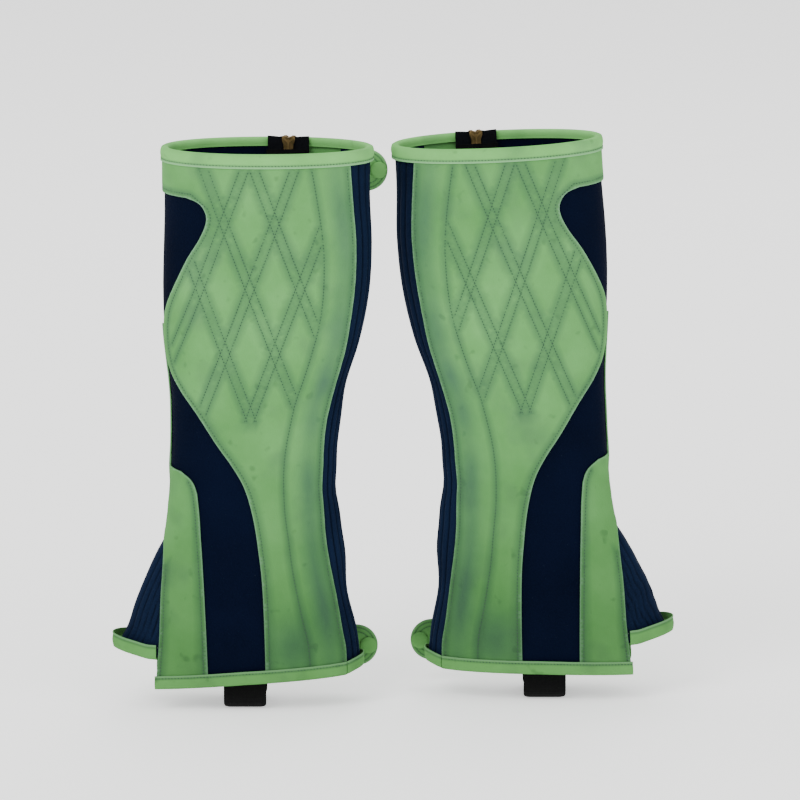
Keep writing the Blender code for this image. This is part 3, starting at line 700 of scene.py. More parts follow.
def fold_profile(tall, up):
    """The section of a strip folded over an edge: puffed, pinched at the stitch row, with a paler raw edge.
    Points run round the outside, then back round the inside, as (offset, rise)."""
    outside = [(o, r) for o, r in ((2.7, 0.0), (2.85, 0.5), (2.4, 2.0), (2.75, 3.6), (3.0, 5.8), (2.8, 8.0))
               if r < tall - 1.6]
    cap = [(2.2, tall - 0.7), (0.8, tall), (-1.6, tall), (-3.0, tall - 0.7)]
    inner = [(-3.6, tall - 2.0), (-3.7, 6.4), (-3.4, 5.0), (-3.5, 4.2)]
    slot = [(-2.95, 4.2), (-2.95, tall - 1.3), (2.0, tall - 1.3), (2.0, 0.0)]
    points = outside + cap + inner + slot
    return points if up else [(o, tall - r) for o, r in points]


# ---- the panels of one gaiter ----

WING_X = -84.8
NEAR_SHIN = 0.006
GRIP_TOP = 392.4
GRIP_EDGE = GRIP_FRONT[:-1]
POCKET_EDGE = GRIP_FRONT[10:-1]


def calf_edge():
    """The calf seam from the hem to the top, as an (x, z) line."""
    return hem_cut(clipped(rounded_line(CALF_SEAM), 20, SHELL_TOP))


def zip_edge(x):
    """A panel's upright edge beside the zip, from the hem up."""
    return around(resampled(np.array([[x, hem_height(x) + HEM_RISE], [x, SHELL_TOP]]), 8), -1)


def shell_border():
    seam = calf_edge()
    calf, zip_line = around(seam, 1), zip_edge(FRONT_OF_ZIP)
    inner_wing, outer_wing = (beside(WING_EDGE, 18, 129.5, side) for side in (1, -1))
    return np.vstack([calf, along_height(SHELL_TOP, calf[-1, 0], zip_line[-1, 0])[1:-1], zip_line[::-1],
                      along_hem(FRONT_OF_ZIP, WING_X, -1), outer_wing, inner_wing[::-1],
                      along_hem(WING_X, seam[0, 0], 1)])


def grip_border():
    seam, front_line = calf_edge(), hem_cut(clipped(rounded_line(GRIP_EDGE, 3.0), 18, GRIP_TOP))
    calf, front = around(seam, 1), around(front_line, 1)
    return np.vstack([calf, along_height(SHELL_TOP, calf[-1, 0], NEAR_SHIN)[1:],
                      straight(front[-1, 0], GRIP_TOP, NEAR_SHIN, 393, 10)[::-1], front[::-1][1:],
                      along_hem(front_line[0, 0], seam[0, 0], 1)])


def outer_border():
    zip_line = zip_edge(FRONT_OF_ZIP)
    pocket = beside(POCKET_EDGE, 290, GRIP_TOP, -1, step=3.0)
    return np.vstack([along_height(SHELL_TOP, -NEAR_SHIN, zip_line[-1, 0]), zip_line[::-1][1:],
                      along_hem(FRONT_OF_ZIP, WING_X, -1), beside(WING_EDGE, 18, 126, -1),
                      straight(-NEAR_SHIN, 134, -NEAR_SHIN, 292, 9), pocket,
                      straight(pocket[-1, 0], GRIP_TOP, -NEAR_SHIN, 393, 9)[1:]])


def strip_border():
    back_line = hem_cut(clipped(rounded_line(STRIP_BACK[:-1], 3.0), 14, 181))
    back = around(back_line, 1)
    return np.vstack([back, straight(back[-1, 0], 181, NEAR_SHIN, 184, 6)[1:],
                      straight(NEAR_SHIN, 178, NEAR_SHIN, 134, 4), beside(WING_EDGE, 18, 126, 1)[::-1],
                      along_hem(WING_X, back_line[0, 0], 1)])


def flap_border():
    seam = hem_cut(clipped(rounded_line(OUTER_SEAM), 20, SHELL_TOP))
    rear, front = around(seam, -1), zip_edge(BEHIND_ZIP)
    return np.vstack([front, along_height(SHELL_TOP, front[-1, 0], rear[-1, 0])[1:-1], rear[::-1],
                      along_hem(seam[0, 0], BEHIND_ZIP, -1)])


def lattice():
    """Two crossing families of double rows, making diamonds in the field of the grip panel."""
    front, strip = rounded_line(GRIP_EDGE, 3.0), rounded_line(STRIP_SEAM, 3.0)
    low, top, middle_height, shin_limit = 222, 414.5, 325, -71
    lines = []
    for slope in (0.37, -0.37):
        for middle in (-50, -13, 24):
            for apart in (-3.4, 3.4):
                run = []
                for z in np.arange(low, top, 1.5):
                    x = middle + apart + slope * (z - middle_height)
                    left = x_at(front, z) + 5.5 if z < 394 else -80
                    if left < x < x_at(strip, z) - 1.5 and x > shin_limit:
                        run.append((x, z))
                    elif run:
                        break
                if len(run) > 8:
                    lines.append(around(run, 1))
    return lines


def grip_fold_shade(angle, z):
    """Where the grip panel is painted darker: a band of painted shade beside the calf, where the rear strip
    folds, and a darker patch above the hem.
    """
    x = wall(angle, z, 0, False)[0][:, 0]
    strip = x_at(STRIP_SEAM, z)
    seam = smooth_value([(height, back) for back, height in CALF_SEAM], z)
    band = np.exp(-((x - strip - (seam - strip) * 0.62) / 7.5) ** 2)
    patchy = 0.72 + 0.28 * np.sin(z / 13.0 + 2 * np.sin(z / 37)) * np.cos(z / 29 + x / 11)
    low = np.exp(-((z - 50) / 22) ** 2) * np.exp(-((x - 18) / 16) ** 2) * 0.8
    return np.clip(band * patchy + low, 0, 1)


def calf_panel():
    """The stretch calf: upright padded ribs with stitched valleys."""
    ribs, per_rib, rows, back_offset = 8, 8, 56, -2.2
    columns = ribs * per_rib
    inner_line, outer_line = (rounded_line(shifted(seam, 0.05), 3.0) for seam in (CALF_SEAM, OUTER_SEAM))
    chance = random.Random(SIDE_SEED[CURRENT["side"]] + 5)
    phases = [chance.uniform(0, TAU) for _ in range(ribs + 1)]

    def spread(up, u):
        """Angles and heights at a share of the way up and at shares u of the way round."""
        z = np.full(len(u), 30 + (SHELL_TOP - 30) * up)
        # The seams and the hem slope, so a few rounds bring angle and height together.
        for _ in range(4):
            start = angle_at(x_at(inner_line, z), z, 1)
            end = TAU + angle_at(x_at(outer_line, z), z, -1)
            angle = start + (end - start) * u
            low = hem_height(wall(angle, z, 0, False)[0][:, 0]) + HEM_RISE
            z = low + (SHELL_TOP - low) * up
        return angle, z

    verts, back, halo = [], [], []
    u, back_u = np.linspace(0, 1, columns + 1), np.linspace(0, 1, ribs + 1)
    for i in range(rows + 1):
        angle, z = spread(i / rows, u)
        valley = np.abs(np.sin(math.pi * ribs * u))
        lumps = np.array([math.sin(z[k] / 4.1 + phases[int(round(u[k] * ribs))]) for k in range(columns + 1)])
        verts += list(wall(angle, z, -1.15 + 1.35 * valley ** 0.55 + 0.07 * lumps * (1 - valley))[0])
        # The rib valleys get painted shade.
        halo += list((1 - valley) ** 3)
        back += list(wall(*spread(i / rows, back_u), back_offset)[0])
    b, wide, thin = len(verts), columns + 1, ribs + 1
    faces = []
    for i in range(rows):
        front_row, back_row = i * wide, b + i * thin
        for k in range(columns):
            a = front_row + k
            faces.append((a, a + 1, a + wide + 1, a + wide))
        for k in range(ribs):
            a = back_row + k
            faces.append((a, a + thin, a + thin + 1, a + 1))
        faces.append((front_row, front_row + wide, back_row + thin, back_row))
        a, c = front_row + columns, back_row + ribs
        faces.append((a, c, c + thin, a + wide))
    for k in range(ribs):
        low = [k * per_rib + m for m in range(per_rib + 1)]
        faces.append(tuple(low[::-1] + [b + k, b + k + 1]))
        faces.append(tuple([rows * wide + m for m in low] + [b + rows * thin + k + 1, b + rows * thin + k]))
    return solid_object("calf_stretch_panel", verts + back, faces, "navy_rib", None, "stretch",
                        {"halo": halo + [0.0] * len(back)}, sharp=70)


def gusset_ribs(angle, z):
    """Ribs that run down beside the flare's front edge; the left gaiter's are crinkled."""
    x = wall(angle, z, 0, False)[0][:, 0]
    crinkle = 0.0
    if CURRENT["side"] == "left":
        crinkle = 0.9 * np.sin(z / 5.5 + x / 3.0) * np.exp(-((z - 70) / 26) ** 2)
    far = x - np.interp(z, HEIGHTS, FRONT)
    return -0.95 + 1.05 * np.abs(np.sin(math.pi * (far + crinkle) / 4.2)) ** 0.6


def gusset():
    """The ribbed insert over the instep, as a fine grid from wing to wing."""
    columns, rows, low_start, top = 84, 20, 45.0, 129.4
    wing = rounded_line(shifted(WING_EDGE, -0.4), 3.0)
    hem = np.array(INSTEP_HEM, float)
    u = np.linspace(-1, 1, columns + 1)
    front, back, halo = [], [], []
    for i in range(rows + 1):
        v = (i / rows) ** 0.85
        z = np.full(columns + 1, low_start + (top - low_start) * v)
        for _ in range(5):
            angle = angle_at(x_at(wing, z), z, 1) * np.sign(u) * np.abs(u) ** 1.15
            low = np.interp(wall(angle, z, 0, False)[0][:, 0], hem[:, 0], hem[:, 1]) + 1.8
            z = low + (top - low) * v
        lift = gusset_ribs(angle, z)
        front += list(wall(angle, z, -0.1 + lift)[0])
        back += list(wall(angle, z, -2.2)[0])
        # The rib valleys get painted shade.
        halo += list(np.clip(-lift / 0.75, 0, 1) ** 2)
    return solid_object("instep_gusset", front + back, slab_faces(rows, columns), "navy_rib", "gaiter",
                        "stretch", {"halo": halo + [0.0] * len(back)}, sharp=70)


# ---- the zip ----

TAPE_LOW, TAPE_TURN_IN, TAPE_FOLD = 27.0, 0.12, 15.0
TOOTH_PITCH = 3.0


def wall_at_x(x, z, offset):
    (p,), (n,) = wall([angle_at(x, z, -1)], [z], offset, False)
    return Vector(p), Vector(n)


def zip_frame(z):
    up = Vector((0, 7.5 / 430.0, 1)).normalized()
    across = Vector((math.cos(ZIP_TURN), math.sin(ZIP_TURN), 0))
    outwards = up.cross(across).normalized()
    origin = Vector((ZIP_X, float(zip_depth(z)) - TAPE_INSET, z))
    return Matrix.Translation(origin) @ Matrix((across, outwards, up)).transposed().to_4x4()


def tape_slab(name, body, rows, columns, levels, spot):
    """A thin slab of tape. spot gives x, z and a push inwards from the shares across and up."""
    verts = []
    for level in levels:
        for i in range(rows + 1):
            for k in range(columns + 1):
                x, z, push = spot(k / columns, i / rows)
                verts.append(wall_at_x(x, z, -TAPE_INSET + level - push)[0])
    return solid_object(name, verts, slab_faces(rows, columns), "zip_tape", body, "zip_tape", sharp=50)


def zip_tape(name, x_low, x_high, body, folded):
    """One tape, its top end folded back on itself."""
    inner, outer = (x_high, x_low) if folded < 0 else (x_low, x_high)

    def flat_spot(u, v):
        near_teeth = u if folded > 0 else 1 - u
        droop = (2.4 * math.exp(-((near_teeth - 0.12) / 0.1) ** 2) + 0.9 * (1 - near_teeth)) * (v == 1)
        return x_low + (x_high - x_low) * u, TAPE_LOW + (SLIDER_TOP - TAPE_LOW) * v - droop, 0.0

    def fold_spot(u, v):
        """The folded end slants away from the teeth."""
        near = inner + (outer - inner) * TAPE_TURN_IN * (1 - v)
        tall = TAPE_FOLD + 3 * (1 - u)
        z = SLIDER_TOP - tall + tall * v - 0.8 * math.sin(math.pi * u) * v
        return near + (outer - near) * u, z, 0.5 * math.sin(math.pi * v)

    tape = tape_slab(name, body, 60, 8, (0.4, -0.4), flat_spot)
    tape_slab(f"{name}_fold", body, 6, 6, (-0.45, -1.35), fold_spot)
    return tape


def box(low, high, matrix):
    corners = ((low[0], low[1]), (high[0], low[1]), (high[0], high[1]), (low[0], high[1]))
    return [matrix @ Vector((x, y, z)) for z in (low[2], high[2]) for x, y in corners], tube_faces(4, 2)


def tooth(side, matrix):
    """A moulded tooth: a wide root on the cord and a rounded head past the middle."""
    outline = ((3.1, -0.75), (3.1, 0.75), (1.0, 0.7), (0.1, 0.95), (-0.6, 0), (0.1, -0.95), (1.0, -0.7))
    verts = [matrix @ Vector((side * x, y * (0.8 if x < 0.5 else 1), z))
             for y in (-1.15, 1.15) for x, z in outline]
    return verts, tube_faces(len(outline), 2)


def zip_teeth(name, side, top, body):
    """One row of teeth on its cord; the front row has the stop at its foot."""
    parts = []
    z = 38.2 + (TOOTH_PITCH / 2 if side > 0 else 0)
    while z < top - 0.8:
        parts.append(tooth(side, zip_frame(z)))
        z += TOOTH_PITCH
    section = ((3.25, -1.2), (3.25, 1.2), (2.6, 1.35), (2.0, 1.2), (2.0, -1.2), (2.6, -1.35))
    low, steps = 30.0 if side < 0 else 37.0, 24
    cord = [zip_frame(low + (top - low) * i / steps) @ Vector((side * x, y, 0))
            for i in range(steps + 1) for x, y in section]
    parts.append((cord, tube_faces(len(section), steps + 1)))
    if side < 0:
        parts.append(box((-3.05, -1.65, -4.2), (3.05, 1.65, 4.2), zip_frame(32.8)))
    return joined(name, parts, "black_teeth", body, "zip_teeth", sharp=40)


def plate(outline, y_low, y_high, matrix, soft=0.3):
    """A flat plate with its rim rounded off, as verts and faces; outline is (x, z) points."""
    outline = np.array(outline, float)
    middle = outline.mean(0)
    verts = []
    for y, shrink in ((y_low, soft), (y_low + soft, 0), (y_high - soft, 0), (y_high, soft)):
        for p in outline:
            away = p - middle
            x, z = p - away / (np.linalg.norm(away) + 1e-9) * shrink
            verts.append(matrix @ Vector((x, y, z)))
    return verts, tube_faces(len(outline), 4)


def mirrored(half):
    """An outline from its half and the half's mirror image in x."""
    return half + [(-x, z) for x, z in reversed(half) if x]


def zip_slider():
    """Y-shaped front and back plates, the post between them, and the puller's arch."""
    matrix = zip_frame(SLIDER_TOP)
    outline = mirrored([(0.7, -0.9), (2.2, 0), (4.3, -0.1), (5, -1.2), (4.9, -3.5), (3.9, -6.4), (3.6, -11),
                        (3.1, -12.3), (1.2, -12.5)])
    parts = [plate(outline, 2.0, 3.0, matrix), plate(outline, -3.0, -2.0, matrix),
             box((-0.5, -2.2, -3.2), (0.5, 2.2, -0.9), matrix)]
    arch = ((-9.2, 2.8), (-9.2, 5.9), (-8.2, 6.9), (-5.3, 7.2), (-2.6, 6.9), (-1.5, 5.9), (-1.5, 2.8),
            (-2.7, 2.8), (-2.7, 5.4), (-3.4, 6.0), (-5.3, 6.2), (-7.4, 6.0), (-8.0, 5.4), (-8.0, 2.8))
    size = len(arch)
    verts = [matrix @ Vector((x, y, z)) for x in (-0.6, 0.6) for z, y in arch]
    faces = [(k, (k + 1) % size, size + (k + 1) % size, size + k) for k in range(size)]
    # The arch's two flat sides are strips of quads between its outer and its inner edge.
    for k in range(size // 2 - 1):
        a, b, c, d = k, k + 1, size - 2 - k, size - 1 - k
        faces += [(a, b, c, d), (size + a, size + d, size + c, size + b)]
    parts.append((verts, faces))
    parts.append(plate([(-0.5, -2.5), (0.5, -2.5), (0.45, -11.5), (-0.45, -11.5)], -3.45, -2.9, matrix, 0.12))
    for slant in (-1, 1):
        wing = [(slant * 0.5, -3.2), (slant * 3.9, -0.9), (slant * 4.3, -1.8), (slant * 0.5, -5.0)]
        parts.append(plate(wing, -3.4, -2.9, matrix, 0.12))
    return joined("zip_slider", parts, "antique_brass", "zip_slider", "zip_metal")


def zip_puller():
    """A tag with a slot at its head and a gripping ridge, hanging from the arch."""
    matrix = zip_frame(SLIDER_TOP)
    out = 4.05
    outline = mirrored([(-3.0, -3.7), (-3.4, -6), (-3.3, -12), (-2.6, -17), (-2.9, -22), (-3.3, -27),
                        (-2.6, -29.2), (-1.2, -30)])
    hole = mirrored([(-1.3, -5.0), (-1.3, -7), (-1.3, -9.5), (-0.9, -10.8), (0, -11.0)])
    bm = bmesh.new()
    near_edge, near_hole, far_edge, far_hole = ([bm.verts.new(matrix @ Vector((x, y, z))) for x, z in loop]
                                                for y in (out - 0.5, out + 0.5) for loop in (outline, hole))
    for near, far in ((near_edge, far_edge), (near_hole, far_hole)):
        for k in range(len(near)):
            j = (k + 1) % len(near)
            bm.faces.new((near[k], near[j], far[j], far[k]))
    for loops in ((near_edge, near_hole), (far_edge, far_hole)):
        edges = [bm.edges.get((loop[k], loop[(k + 1) % len(loop)])) for loop in loops for k in range(len(loop))]
        bmesh.ops.triangle_fill(bm, edges=edges, use_beauty=True, use_dissolve=False)
    bm.verts.index_update()
    parts = [([v.co.copy() for v in bm.verts], [tuple(v.index for v in f.verts) for f in bm.faces])]
    bm.free()
    for z in (-20, -22, -24, -26):
        ridge = [(-1.9, z), (1.9, z), (1.9, z - 0.8), (-1.9, z - 0.8)]
        parts.append(plate(ridge, out + 0.4, out + 0.8, matrix, 0.12))
    return joined("zip_puller", parts, "antique_brass", "zip_puller", "zip_metal")


def zip_guard():
    low, top, half_width = 32, 419, 17
    border = []
    for x, ends in ((ZIP_X - half_width, (low, top)), (ZIP_X + half_width, (top, low))):
        border += [(angle_at(x, z, -1), z) for z in np.linspace(*ends, 40)]
    return layer("zip_guard", np.array(border)[::-1], -8.6, -9.6, "guard_tape", "gaiter", "elastic",
                 edge_width=0, fine=(0.1, 14))


def strap():
    """Woven elastic under the foot: a thick band with soft selvedges and rounded corners."""
    x_low, width, half_span, corner, top, thick = -34.0, 32.0, 27.0, 12.0, 46.0, 2.0
    arc = [(half_span - corner * (1 - math.sin(a)), corner * (1 - math.cos(a)))
           for a in np.linspace(0, math.pi / 2, 10)]
    half = [(0.0, 0.0), (7.5, 0.0)] + arc + [(half_span, z) for z in (17, 22, 28, 34, 40, top)]
    path = np.array([(-y, z) for y, z in reversed(half[1:])] + half)
    ahead = np.gradient(path, axis=0)
    ahead /= np.linalg.norm(ahead, axis=1)[:, None]
    inward = np.stack([-ahead[:, 1], ahead[:, 0]], -1)
    shares = [k / 12 for k in range(13)]
    # The selvedges are thinner than the band's middle.
    thin = [0.35 * (abs(2 * u - 1) > 0.9) for u in shares]
    section = list(zip(shares, thin)) + [(u, thick - less) for u, less in zip(shares, thin)][::-1]
    verts = []
    for (y, z), n in zip(path, inward):
        # The band narrows a little where it turns under the foot.
        pinch = 3.4 * (1 - math.sqrt(1 - (1 - min(z / 5.0, 1)) ** 2))
        for u, depth in section:
            x = x_low + width / 2 + (u - 0.5) * (width - 2 * pinch)
            verts.append((x, y + n[0] * depth, z + n[1] * depth))
    return solid_object("stirrup_strap", verts, tube_faces(len(section), len(path)), "black_webbing", "gaiter",
                        "elastic", sharp=50, level=True)


# ---- tabs and snaps ----

TAB_LENGTH, TAB_HALF, TAB_STANDOFF, TAB_SOCKET, TAB_THICK = 47.0, 16.0, 4.3, 40.0, 1.5
TABS = {"top_tab": (41.0, 402.0), "heel_tab": (33.5, 37.0)}
OPEN_TURN = math.radians(-176)
# Rings of a tab from its rim inwards: inset, height, painted shade of the stitch groove.
TAB_RINGS = ((0.25, 0.42, 0), (1.6, 0.62, 0.35), (2.5, 0.34, 0.9), (3.4, 0.62, 0.35), (4.8, 0.66, 0.35),
             (5.7, 0.42, 0.9), (6.6, 0.68, 0.35), (10.5, 0.74, 0))
TAB_STITCH_FACES = ((0, 3, 2), (2, 3, 1), (0, 2, 4), (2, 1, 4), (0, 5, 3), (3, 5, 1), (0, 4, 5), (5, 4, 1))


def tab_path(tab):
    """Points along a closed tab from its root, as (run, place, direction outwards)."""
    x, z = TABS[tab]
    last, _ = wall_at_x(x, z, TAB_STANDOFF)
    points, run = [], 0.0
    while run < TAB_LENGTH + 0.5:
        here, normal = wall_at_x(x, z, TAB_STANDOFF)
        run += (here - last).length
        points.append((run, here, normal))
        last = here
        x -= 0.5
    return points


def nearest(points, run):
    return min(range(len(points)), key=lambda k: abs(points[k][0] - run))


def tab_turn(tab, opened):
    """Turns a closed tab to its rest place about its fold line."""
    _, place, direction = tab_path(tab)[0]
    hinge = place + direction * (TAB_THICK / 2 + 0.1)
    angle = OPEN_TURN if opened else 0.0
    return Matrix.Translation(hinge) @ Matrix.Rotation(angle, 4, "Z") @ Matrix.Translation(-hinge)


def tab_outline(inset):
    """Closed (run, rise) points round a tab, moved in by inset."""
    radius = TAB_HALF - inset
    tip = TAB_LENGTH - TAB_HALF
    runs = (0.5 + inset * 0.6, tip * 0.35, tip * 0.7)
    arc = [(tip + radius * math.sin(a), -radius * math.cos(a)) for a in np.linspace(0, math.pi, 25)]
    return [(run, -radius) for run in runs] + arc + [(run, radius) for run in runs[::-1]]


def snap_tab(tab, opened):
    """Two layers of suede, stitched together round the edge with two rows."""
    path = tab_path(tab)
    turn = tab_turn(tab, opened)
    verts, faces, halo, edge = [], [], [], []

    def place(run, rise, out):
        run = min(max(run, 0.4), TAB_LENGTH)
        i = nearest(path, run)
        a, b = path[max(i - 1, 0)], path[min(i + 1, len(path) - 1)]
        t = (run - a[0]) / (b[0] - a[0] + 1e-9)
        here = a[1].lerp(b[1], t)
        return turn @ (here + a[2].lerp(b[2], t).normalized() * out + Vector((0, 0, rise)))

    def add_ring(line, out, dark, pale):
        first = len(verts)
        for run, rise in line:
            verts.append(place(run, rise, out))
            halo.append(dark)
            edge.append(pale)
        return list(range(first, len(verts)))

    def bridge(a, b, sign):
        for k in range(len(a)):
            j = (k + 1) % len(a)
            faces.append((a[k], a[j], b[j], b[k])[::sign])
        return b

    rim = add_ring(tab_outline(0.0), 0.0, 0.0, 1.0)
    centre, field_height, shrink = 24.0, 0.75, 0.45
    for sign in (1, -1):
        last = rim
        for inset, out, dark in TAB_RINGS:
            last = bridge(last, add_ring(tab_outline(inset), sign * out, dark, 1.0 if inset < 1 else 0.0), sign)
        # The field inside the last ring is a smaller ring and a fan.
        field = [(centre + (run - centre) * shrink, rise * shrink) for run, rise in tab_outline(inset)]
        last = bridge(last, add_ring(field, sign * field_height, 0.0, 0.0), sign)
        (middle,) = add_ring([(centre, 0)], sign * field_height, 0.0, 0.0)
        faces += [(last[k], last[(k + 1) % len(last)], middle)[::sign] for k in range(len(last))]
    obj = solid_object(tab, verts, faces, "binding_suede", tab, "suede",
                       {"halo": halo, "edge": edge, "smear": [0.0] * len(verts)}, sharp=60)
    thread, thread_faces = [], []
    for sign in (1, -1):
        for inset, level in ((2.5, 0.38), (5.7, 0.46)):
            line = resampled(np.array(tab_outline(inset)), 1.95)
            for a, b in zip(line[:-1], line[1:]):
                p, q, middle = a + (b - a) * 0.14, a + (b - a) * 0.86, (a + b) / 2
                start, end = (place(*at, sign * (level + 0.02)) for at in (p, q))
                top, low = (place(*middle, sign * (level + rise)) for rise in (0.27, -0.1))
                across = (end - start).normalized().cross(top - low).normalized() * 0.22
                thread_faces += [tuple(len(thread) + i for i in f) for f in TAB_STITCH_FACES]
                thread += [start, end, top - across * 0.2, top - across, top + across, low]
    solid_object(f"{tab}_stitching", thread, thread_faces, "green_thread", tab, sharp=80)
    return obj


def turned(name, profile, centre, direction, body, material="warm_nickel", slot="snap_metal", turn=None):
    """A round piece from a profile of (radius, height) points."""
    steps = 28
    rotation = Vector((0, 0, 1)).rotation_difference(direction).to_matrix().to_4x4()
    matrix = (turn or Matrix.Identity(4)) @ Matrix.Translation(centre) @ rotation
    verts, faces, rings = [], [], []
    for radius, height in profile:
        if radius == 0:
            rings.append([len(verts)] * steps)
            verts.append(matrix @ Vector((0, 0, height)))
            continue
        rings.append(list(range(len(verts), len(verts) + steps)))
        for k in range(steps):
            a = TAU * k / steps
            verts.append(matrix @ Vector((radius * math.cos(a), radius * math.sin(a), height)))
    for low, high in zip(rings, rings[1:]):
        for k in range(steps):
            j = (k + 1) % steps
            # A ring at the middle is one point, so its corners are taken once.
            face = tuple(dict.fromkeys((low[k], low[j], high[j], high[k])))
            if len(face) > 2:
                faces.append(face)
    return solid_object(name, verts, faces, material, body, slot, sharp=30)


CAP = ((0, 2.75), (2.0, 2.72), (3.4, 2.55), (4.2, 2.15), (4.5, 2.35), (5.1, 2.5), (5.6, 2.35), (5.95, 2.0),
       (5.9, 1.65), (1.4, 1.6), (1.4, -0.3), (4.6, -0.3), (5.0, -0.55), (5.0, -1.25), (4.7, -1.5), (3.3, -1.5),
       (3.1, -1.3), (3.1, -0.8), (0, -0.8))
CAP_COVER = ((0, 2.98), (2.6, 2.92), (4.4, 2.74), (5.5, 2.45), (6.2, 2.0), (6.45, 1.4), (6.3, 0.72), (0, 0.72))
STUD = ((0, -1.1), (1.4, -1.12), (2.2, -1.2), (2.55, -1.45), (2.3, -1.8), (3.9, -1.82), (4.5, -1.95),
        (4.6, -2.2), (0, -2.2))
RIVET = ((0, 1.6), (2.4, 1.55), (3.6, 1.4), (4.6, 1.0), (4.8, 0.7), (4.7, 0.5), (1.5, 0.5), (1.5, -2.4),
         (5.1, -2.4), (5.25, -2.8), (5.0, -3.1), (3.4, -3.5), (1.5, -3.55), (1.2, -3.3), (0, -3.3))


def snaps(opened):
    for tab in TABS:
        path = tab_path(tab)
        _, centre, direction = path[nearest(path, TAB_SOCKET)]
        turn = tab_turn(tab, tab in opened)
        replace_node(turned(f"{tab}_snap", CAP, centre, direction, tab, turn=turn))
        turned(f"{tab}_cap_cover", CAP_COVER, centre, direction, tab, "binding_suede", "suede", turn)
        replace_node(turned(tab.replace("tab", "stud"), STUD, centre, direction, "gaiter"))
    replace_node(turned("top_tab_rivet", RIVET, *wall_at_x(48.5, 410.0, 0), "zip_flap"))


# ---- one gaiter ----

# Offsets of a suede panel's outer and inner faces from the wall, in millimetres.
SUEDE_FRONT, SUEDE_BACK = 1.8, 0.6


def replace_node(obj):
    """The piece stands for the CAD node of its own name."""
    node = obj.name.removesuffix("_look")
    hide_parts(node)


def follow_flap(obj):
    """Bakes the piece's placement into its mesh."""
    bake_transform(obj)
    return obj


def suede_panel(name, border, seams, thread, smear=None):
    """A suede panel on the shell, with its rows of stitches."""
    replace_node(layer(name, border, SUEDE_FRONT, SUEDE_BACK, "suede", "gaiter", "suede", seams, smear=smear))
    stitches(thread, seams, SUEDE_FRONT, "gaiter")


def zip_row(x, low):
    return around([(x, z) for z in np.arange(low, 415, 6)], -1)


def binding(name, line, tall, body, pucker, row, up=False):
    """A strip folded over an edge, with its row of stitches. Without a body, its placement is baked into its
    mesh.
    """
    obj = sweep(name, line, fold_profile(tall, up), body, pucker)
    replace_node(obj)
    thread = stitches(f"{name}_stitching", [row], 2.75, body)
    if body is None:
        follow_flap(obj)
        follow_flap(thread)


def top_bindings():
    low, tall, level, gap = 416.3, 10.5, 420, 0.001
    zip_angle, outer_angle, back_zip = (float(angle_at(x, level, -1)) for x in (FRONT_OF_ZIP, 55.0, BEHIND_ZIP))
    seam_angle = float(angle_at(x_at(CALF_SEAM, level), level, 1))
    for name, start, end, body in (
            ("top_binding_shell", zip_angle, seam_angle, "gaiter"),
            ("top_binding_calf", seam_angle + gap, outer_angle + TAU - gap, None),
            ("top_binding_flap", outer_angle + TAU, back_zip + TAU, "zip_flap")):
        binding(name, along_height(low, start, end, 0.04), tall, body, 0.025,
                along_height(low + 2.0, start + 0.01, end - 0.01, 0.03), up=True)


def hem_bindings():
    tall, row_rise, pucker = 10.5, 8.5, 0.05
    for name, start, end, side, body in (("hem_binding_inner", -85.2, 57.0, 1, "gaiter"),
                                         ("hem_binding_outer", -85.2, FRONT_OF_ZIP, -1, "gaiter"),
                                         ("hem_binding_flap", BEHIND_ZIP, 41.0, -1, "zip_flap")):
        x = np.linspace(start, end, max(int((end - start) / 3), 4))
        line, row = (around(np.stack([x, hem_height(x) + rise], -1), side) for rise in (0, row_rise))
        binding(name, line, tall, body, pucker, row)
    count, level = 26, 27.0
    angles = np.linspace(float(angle_at(57.5, level, 1)), float(angle_at(41.4, level, -1)) + TAU, count)
    heights = hem_height(wall(angles, np.full(count, level), 0, False)[0][:, 0])
    line = np.stack([angles, heights], -1)
    binding("hem_binding_calf", line, tall, None, pucker, line + (0, row_rise))


def instep_binding():
    count, hem = 44, np.array(INSTEP_HEM, float)
    reach = float(angle_at(-83.0, 44, 1))
    angles, heights = np.linspace(-reach, reach, count), np.full(count, 45.0)
    for _ in range(4):
        heights = np.interp(wall(angles, heights, 0, False)[0][:, 0], hem[:, 0], hem[:, 1])
    line = np.stack([angles, heights], -1)
    binding("instep_binding", line, 11.5, "gaiter", 0.05, line + (0, 9.5))


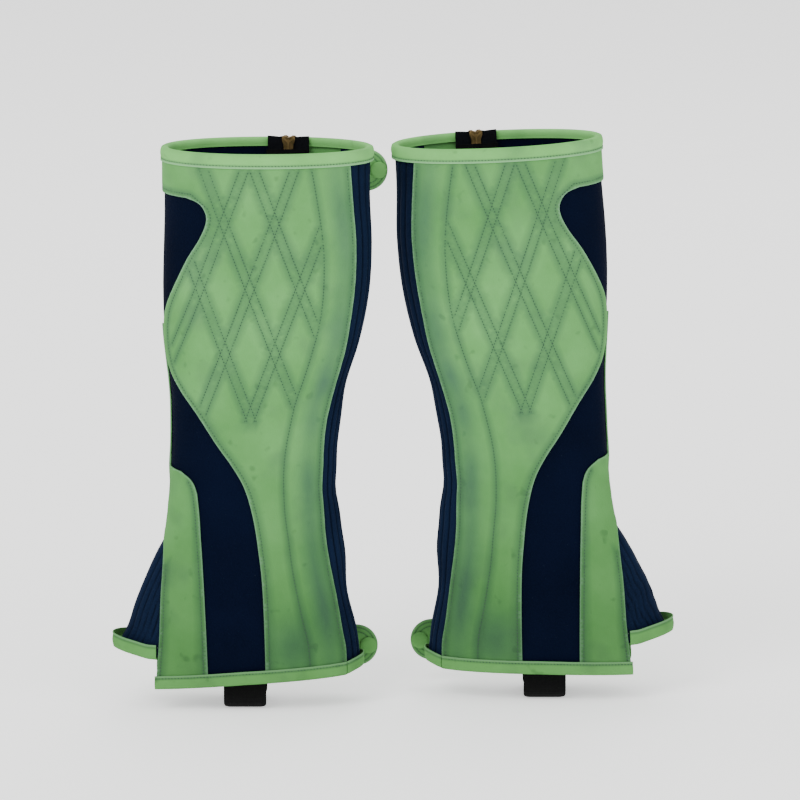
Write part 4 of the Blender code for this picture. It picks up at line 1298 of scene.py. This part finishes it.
def gaiter(side, opened):
    CURRENT["side"] = side
    replace_node(layer("base_shell", shell_border(), 0.0, -2.5, "navy_knit", "gaiter", "shell", edge_width=0,
                       fine=(0.09, 10.0)))
    # Grip panel: an edge row along the front and the top, one along the calf, the strip seam and the lattice.
    front_row = beside(GRIP_EDGE, 24, 391, 1, 3.2, 3.0)
    cap_row = straight(front_row[-1, 0], 395.2, 0.05, 396.2, 24)
    seams = [np.vstack([front_row[:-3], cap_row[2:]]), beside(CALF_SEAM, 30, 414, 1, -2.6),
             beside(STRIP_SEAM, 28, 414, 1, step=3.0)] + lattice()
    suede_panel("inner_grip_panel", grip_border(), seams, "grip_stitching", grip_fold_shade)
    outer_seams = [beside(POCKET_EDGE, 296, 389, -1, 3.2, 3.0), zip_row(FRONT_OF_ZIP - 3.0, 30),
                   zip_row(FRONT_OF_ZIP - 8.5, 30)]
    suede_panel("outer_side_panel", outer_border(), outer_seams, "outer_stitching")
    ankle_seams = [beside(STRIP_BACK[:-1], 24, 174, 1, -3.0, 3.0), beside(WING_EDGE, 22, 110, 1, 2.6)]
    suede_panel("ankle_strip", strip_border(), ankle_seams, "ankle_stitching")
    replace_node(gusset())
    replace_node(follow_flap(calf_panel()))
    flap_rows = [zip_row(BEHIND_ZIP + 3.0, 36), beside(OUTER_SEAM, 34, 414, -1, -2.8)]
    replace_node(layer("zip_side_panel", flap_border(), 0.0, -1.2, "suede", "zip_flap", "suede", flap_rows))
    stitches("flap_stitching", flap_rows, 0.0, "zip_flap")
    top_bindings()
    hem_bindings()
    instep_binding()
    replace_node(zip_tape("zip_tape_front", ZIP_X - 16, ZIP_X - 3.5, "gaiter", -1))
    replace_node(zip_tape("zip_tape_rear", ZIP_X + 3.5, ZIP_X + 16, "zip_flap", 1))
    replace_node(zip_teeth("zip_teeth_front", -1, SLIDER_TOP - 1, "gaiter"))
    replace_node(zip_teeth("zip_teeth_rear", 1, REAR_TEETH_TOP, "zip_flap"))
    for piece in (zip_slider, zip_puller, zip_guard, strap):
        replace_node(piece())
    for tab in TABS:
        replace_node(snap_tab(tab, tab in opened))
    snaps(opened)


gaiter("right", ("top_tab", "heel_tab"))
gaiter("left", ("heel_tab",))

# ---- stage, lights and camera ----


def make_floor():
    bm = bmesh.new()
    bmesh.ops.create_grid(bm, x_segments=8, y_segments=8, size=40.0)
    mesh = bpy.data.meshes.new("floor")
    bm.to_mesh(mesh)
    bm.free()
    mesh.shade_smooth()
    floor = bpy.data.objects.new("floor", mesh)
    bpy.context.scene.collection.objects.link(floor)
    n = Nodes("pale_floor")
    n.shade(Base_Color=n.mix(n.noise(3.0, 2), srgb(250, 250, 249), srgb(246, 246, 246)), Roughness=0.95,
            Emission_Color=(1, 1, 1, 1), Emission_Strength=0.6)
    mesh.materials.append(n.material)


def make_light(name, place, target, size, power, colour=(1, 1, 1)):
    data = bpy.data.lights.new(name, "AREA")
    data.size = size
    data.energy = power
    data.color = colour
    light = bpy.data.objects.new(name, data)
    light.location = place
    light.rotation_euler = (Vector(target) - Vector(place)).to_track_quat("-Z", "Y").to_euler()
    bpy.context.scene.collection.objects.link(light)


make_floor()
make_light("key", (-1.3, -1.7, 2.2), (0, 0, 0.2), 1.5, 46)
make_light("fill", (1.6, -1.7, 1.2), (0, 0, 0.2), 2.2, 12)
make_light("back", (0.3, 2.0, 2.0), (0, 0, 0.3), 1.6, 20)
world = bpy.data.worlds.new("studio")
world.use_nodes = True
world.node_tree.nodes["Background"].inputs["Color"].default_value = (1.0, 1.0, 1.0, 1)
world.node_tree.nodes["Background"].inputs["Strength"].default_value = 1.25
bpy.context.scene.world = world

camera_data = bpy.data.cameras.new("camera")
camera_data.lens = 360
camera_data.sensor_width = 36
camera = bpy.data.objects.new("camera", camera_data)
target = Vector((0.0046, -0.0165, 0.233))
rise = math.radians(12)
camera.location = target + Vector((0, -math.cos(rise), math.sin(rise))) * 6.0
camera.rotation_euler = (target - camera.location).to_track_quat("-Z", "Y").to_euler()
bpy.context.scene.collection.objects.link(camera)
bpy.context.scene.camera = camera
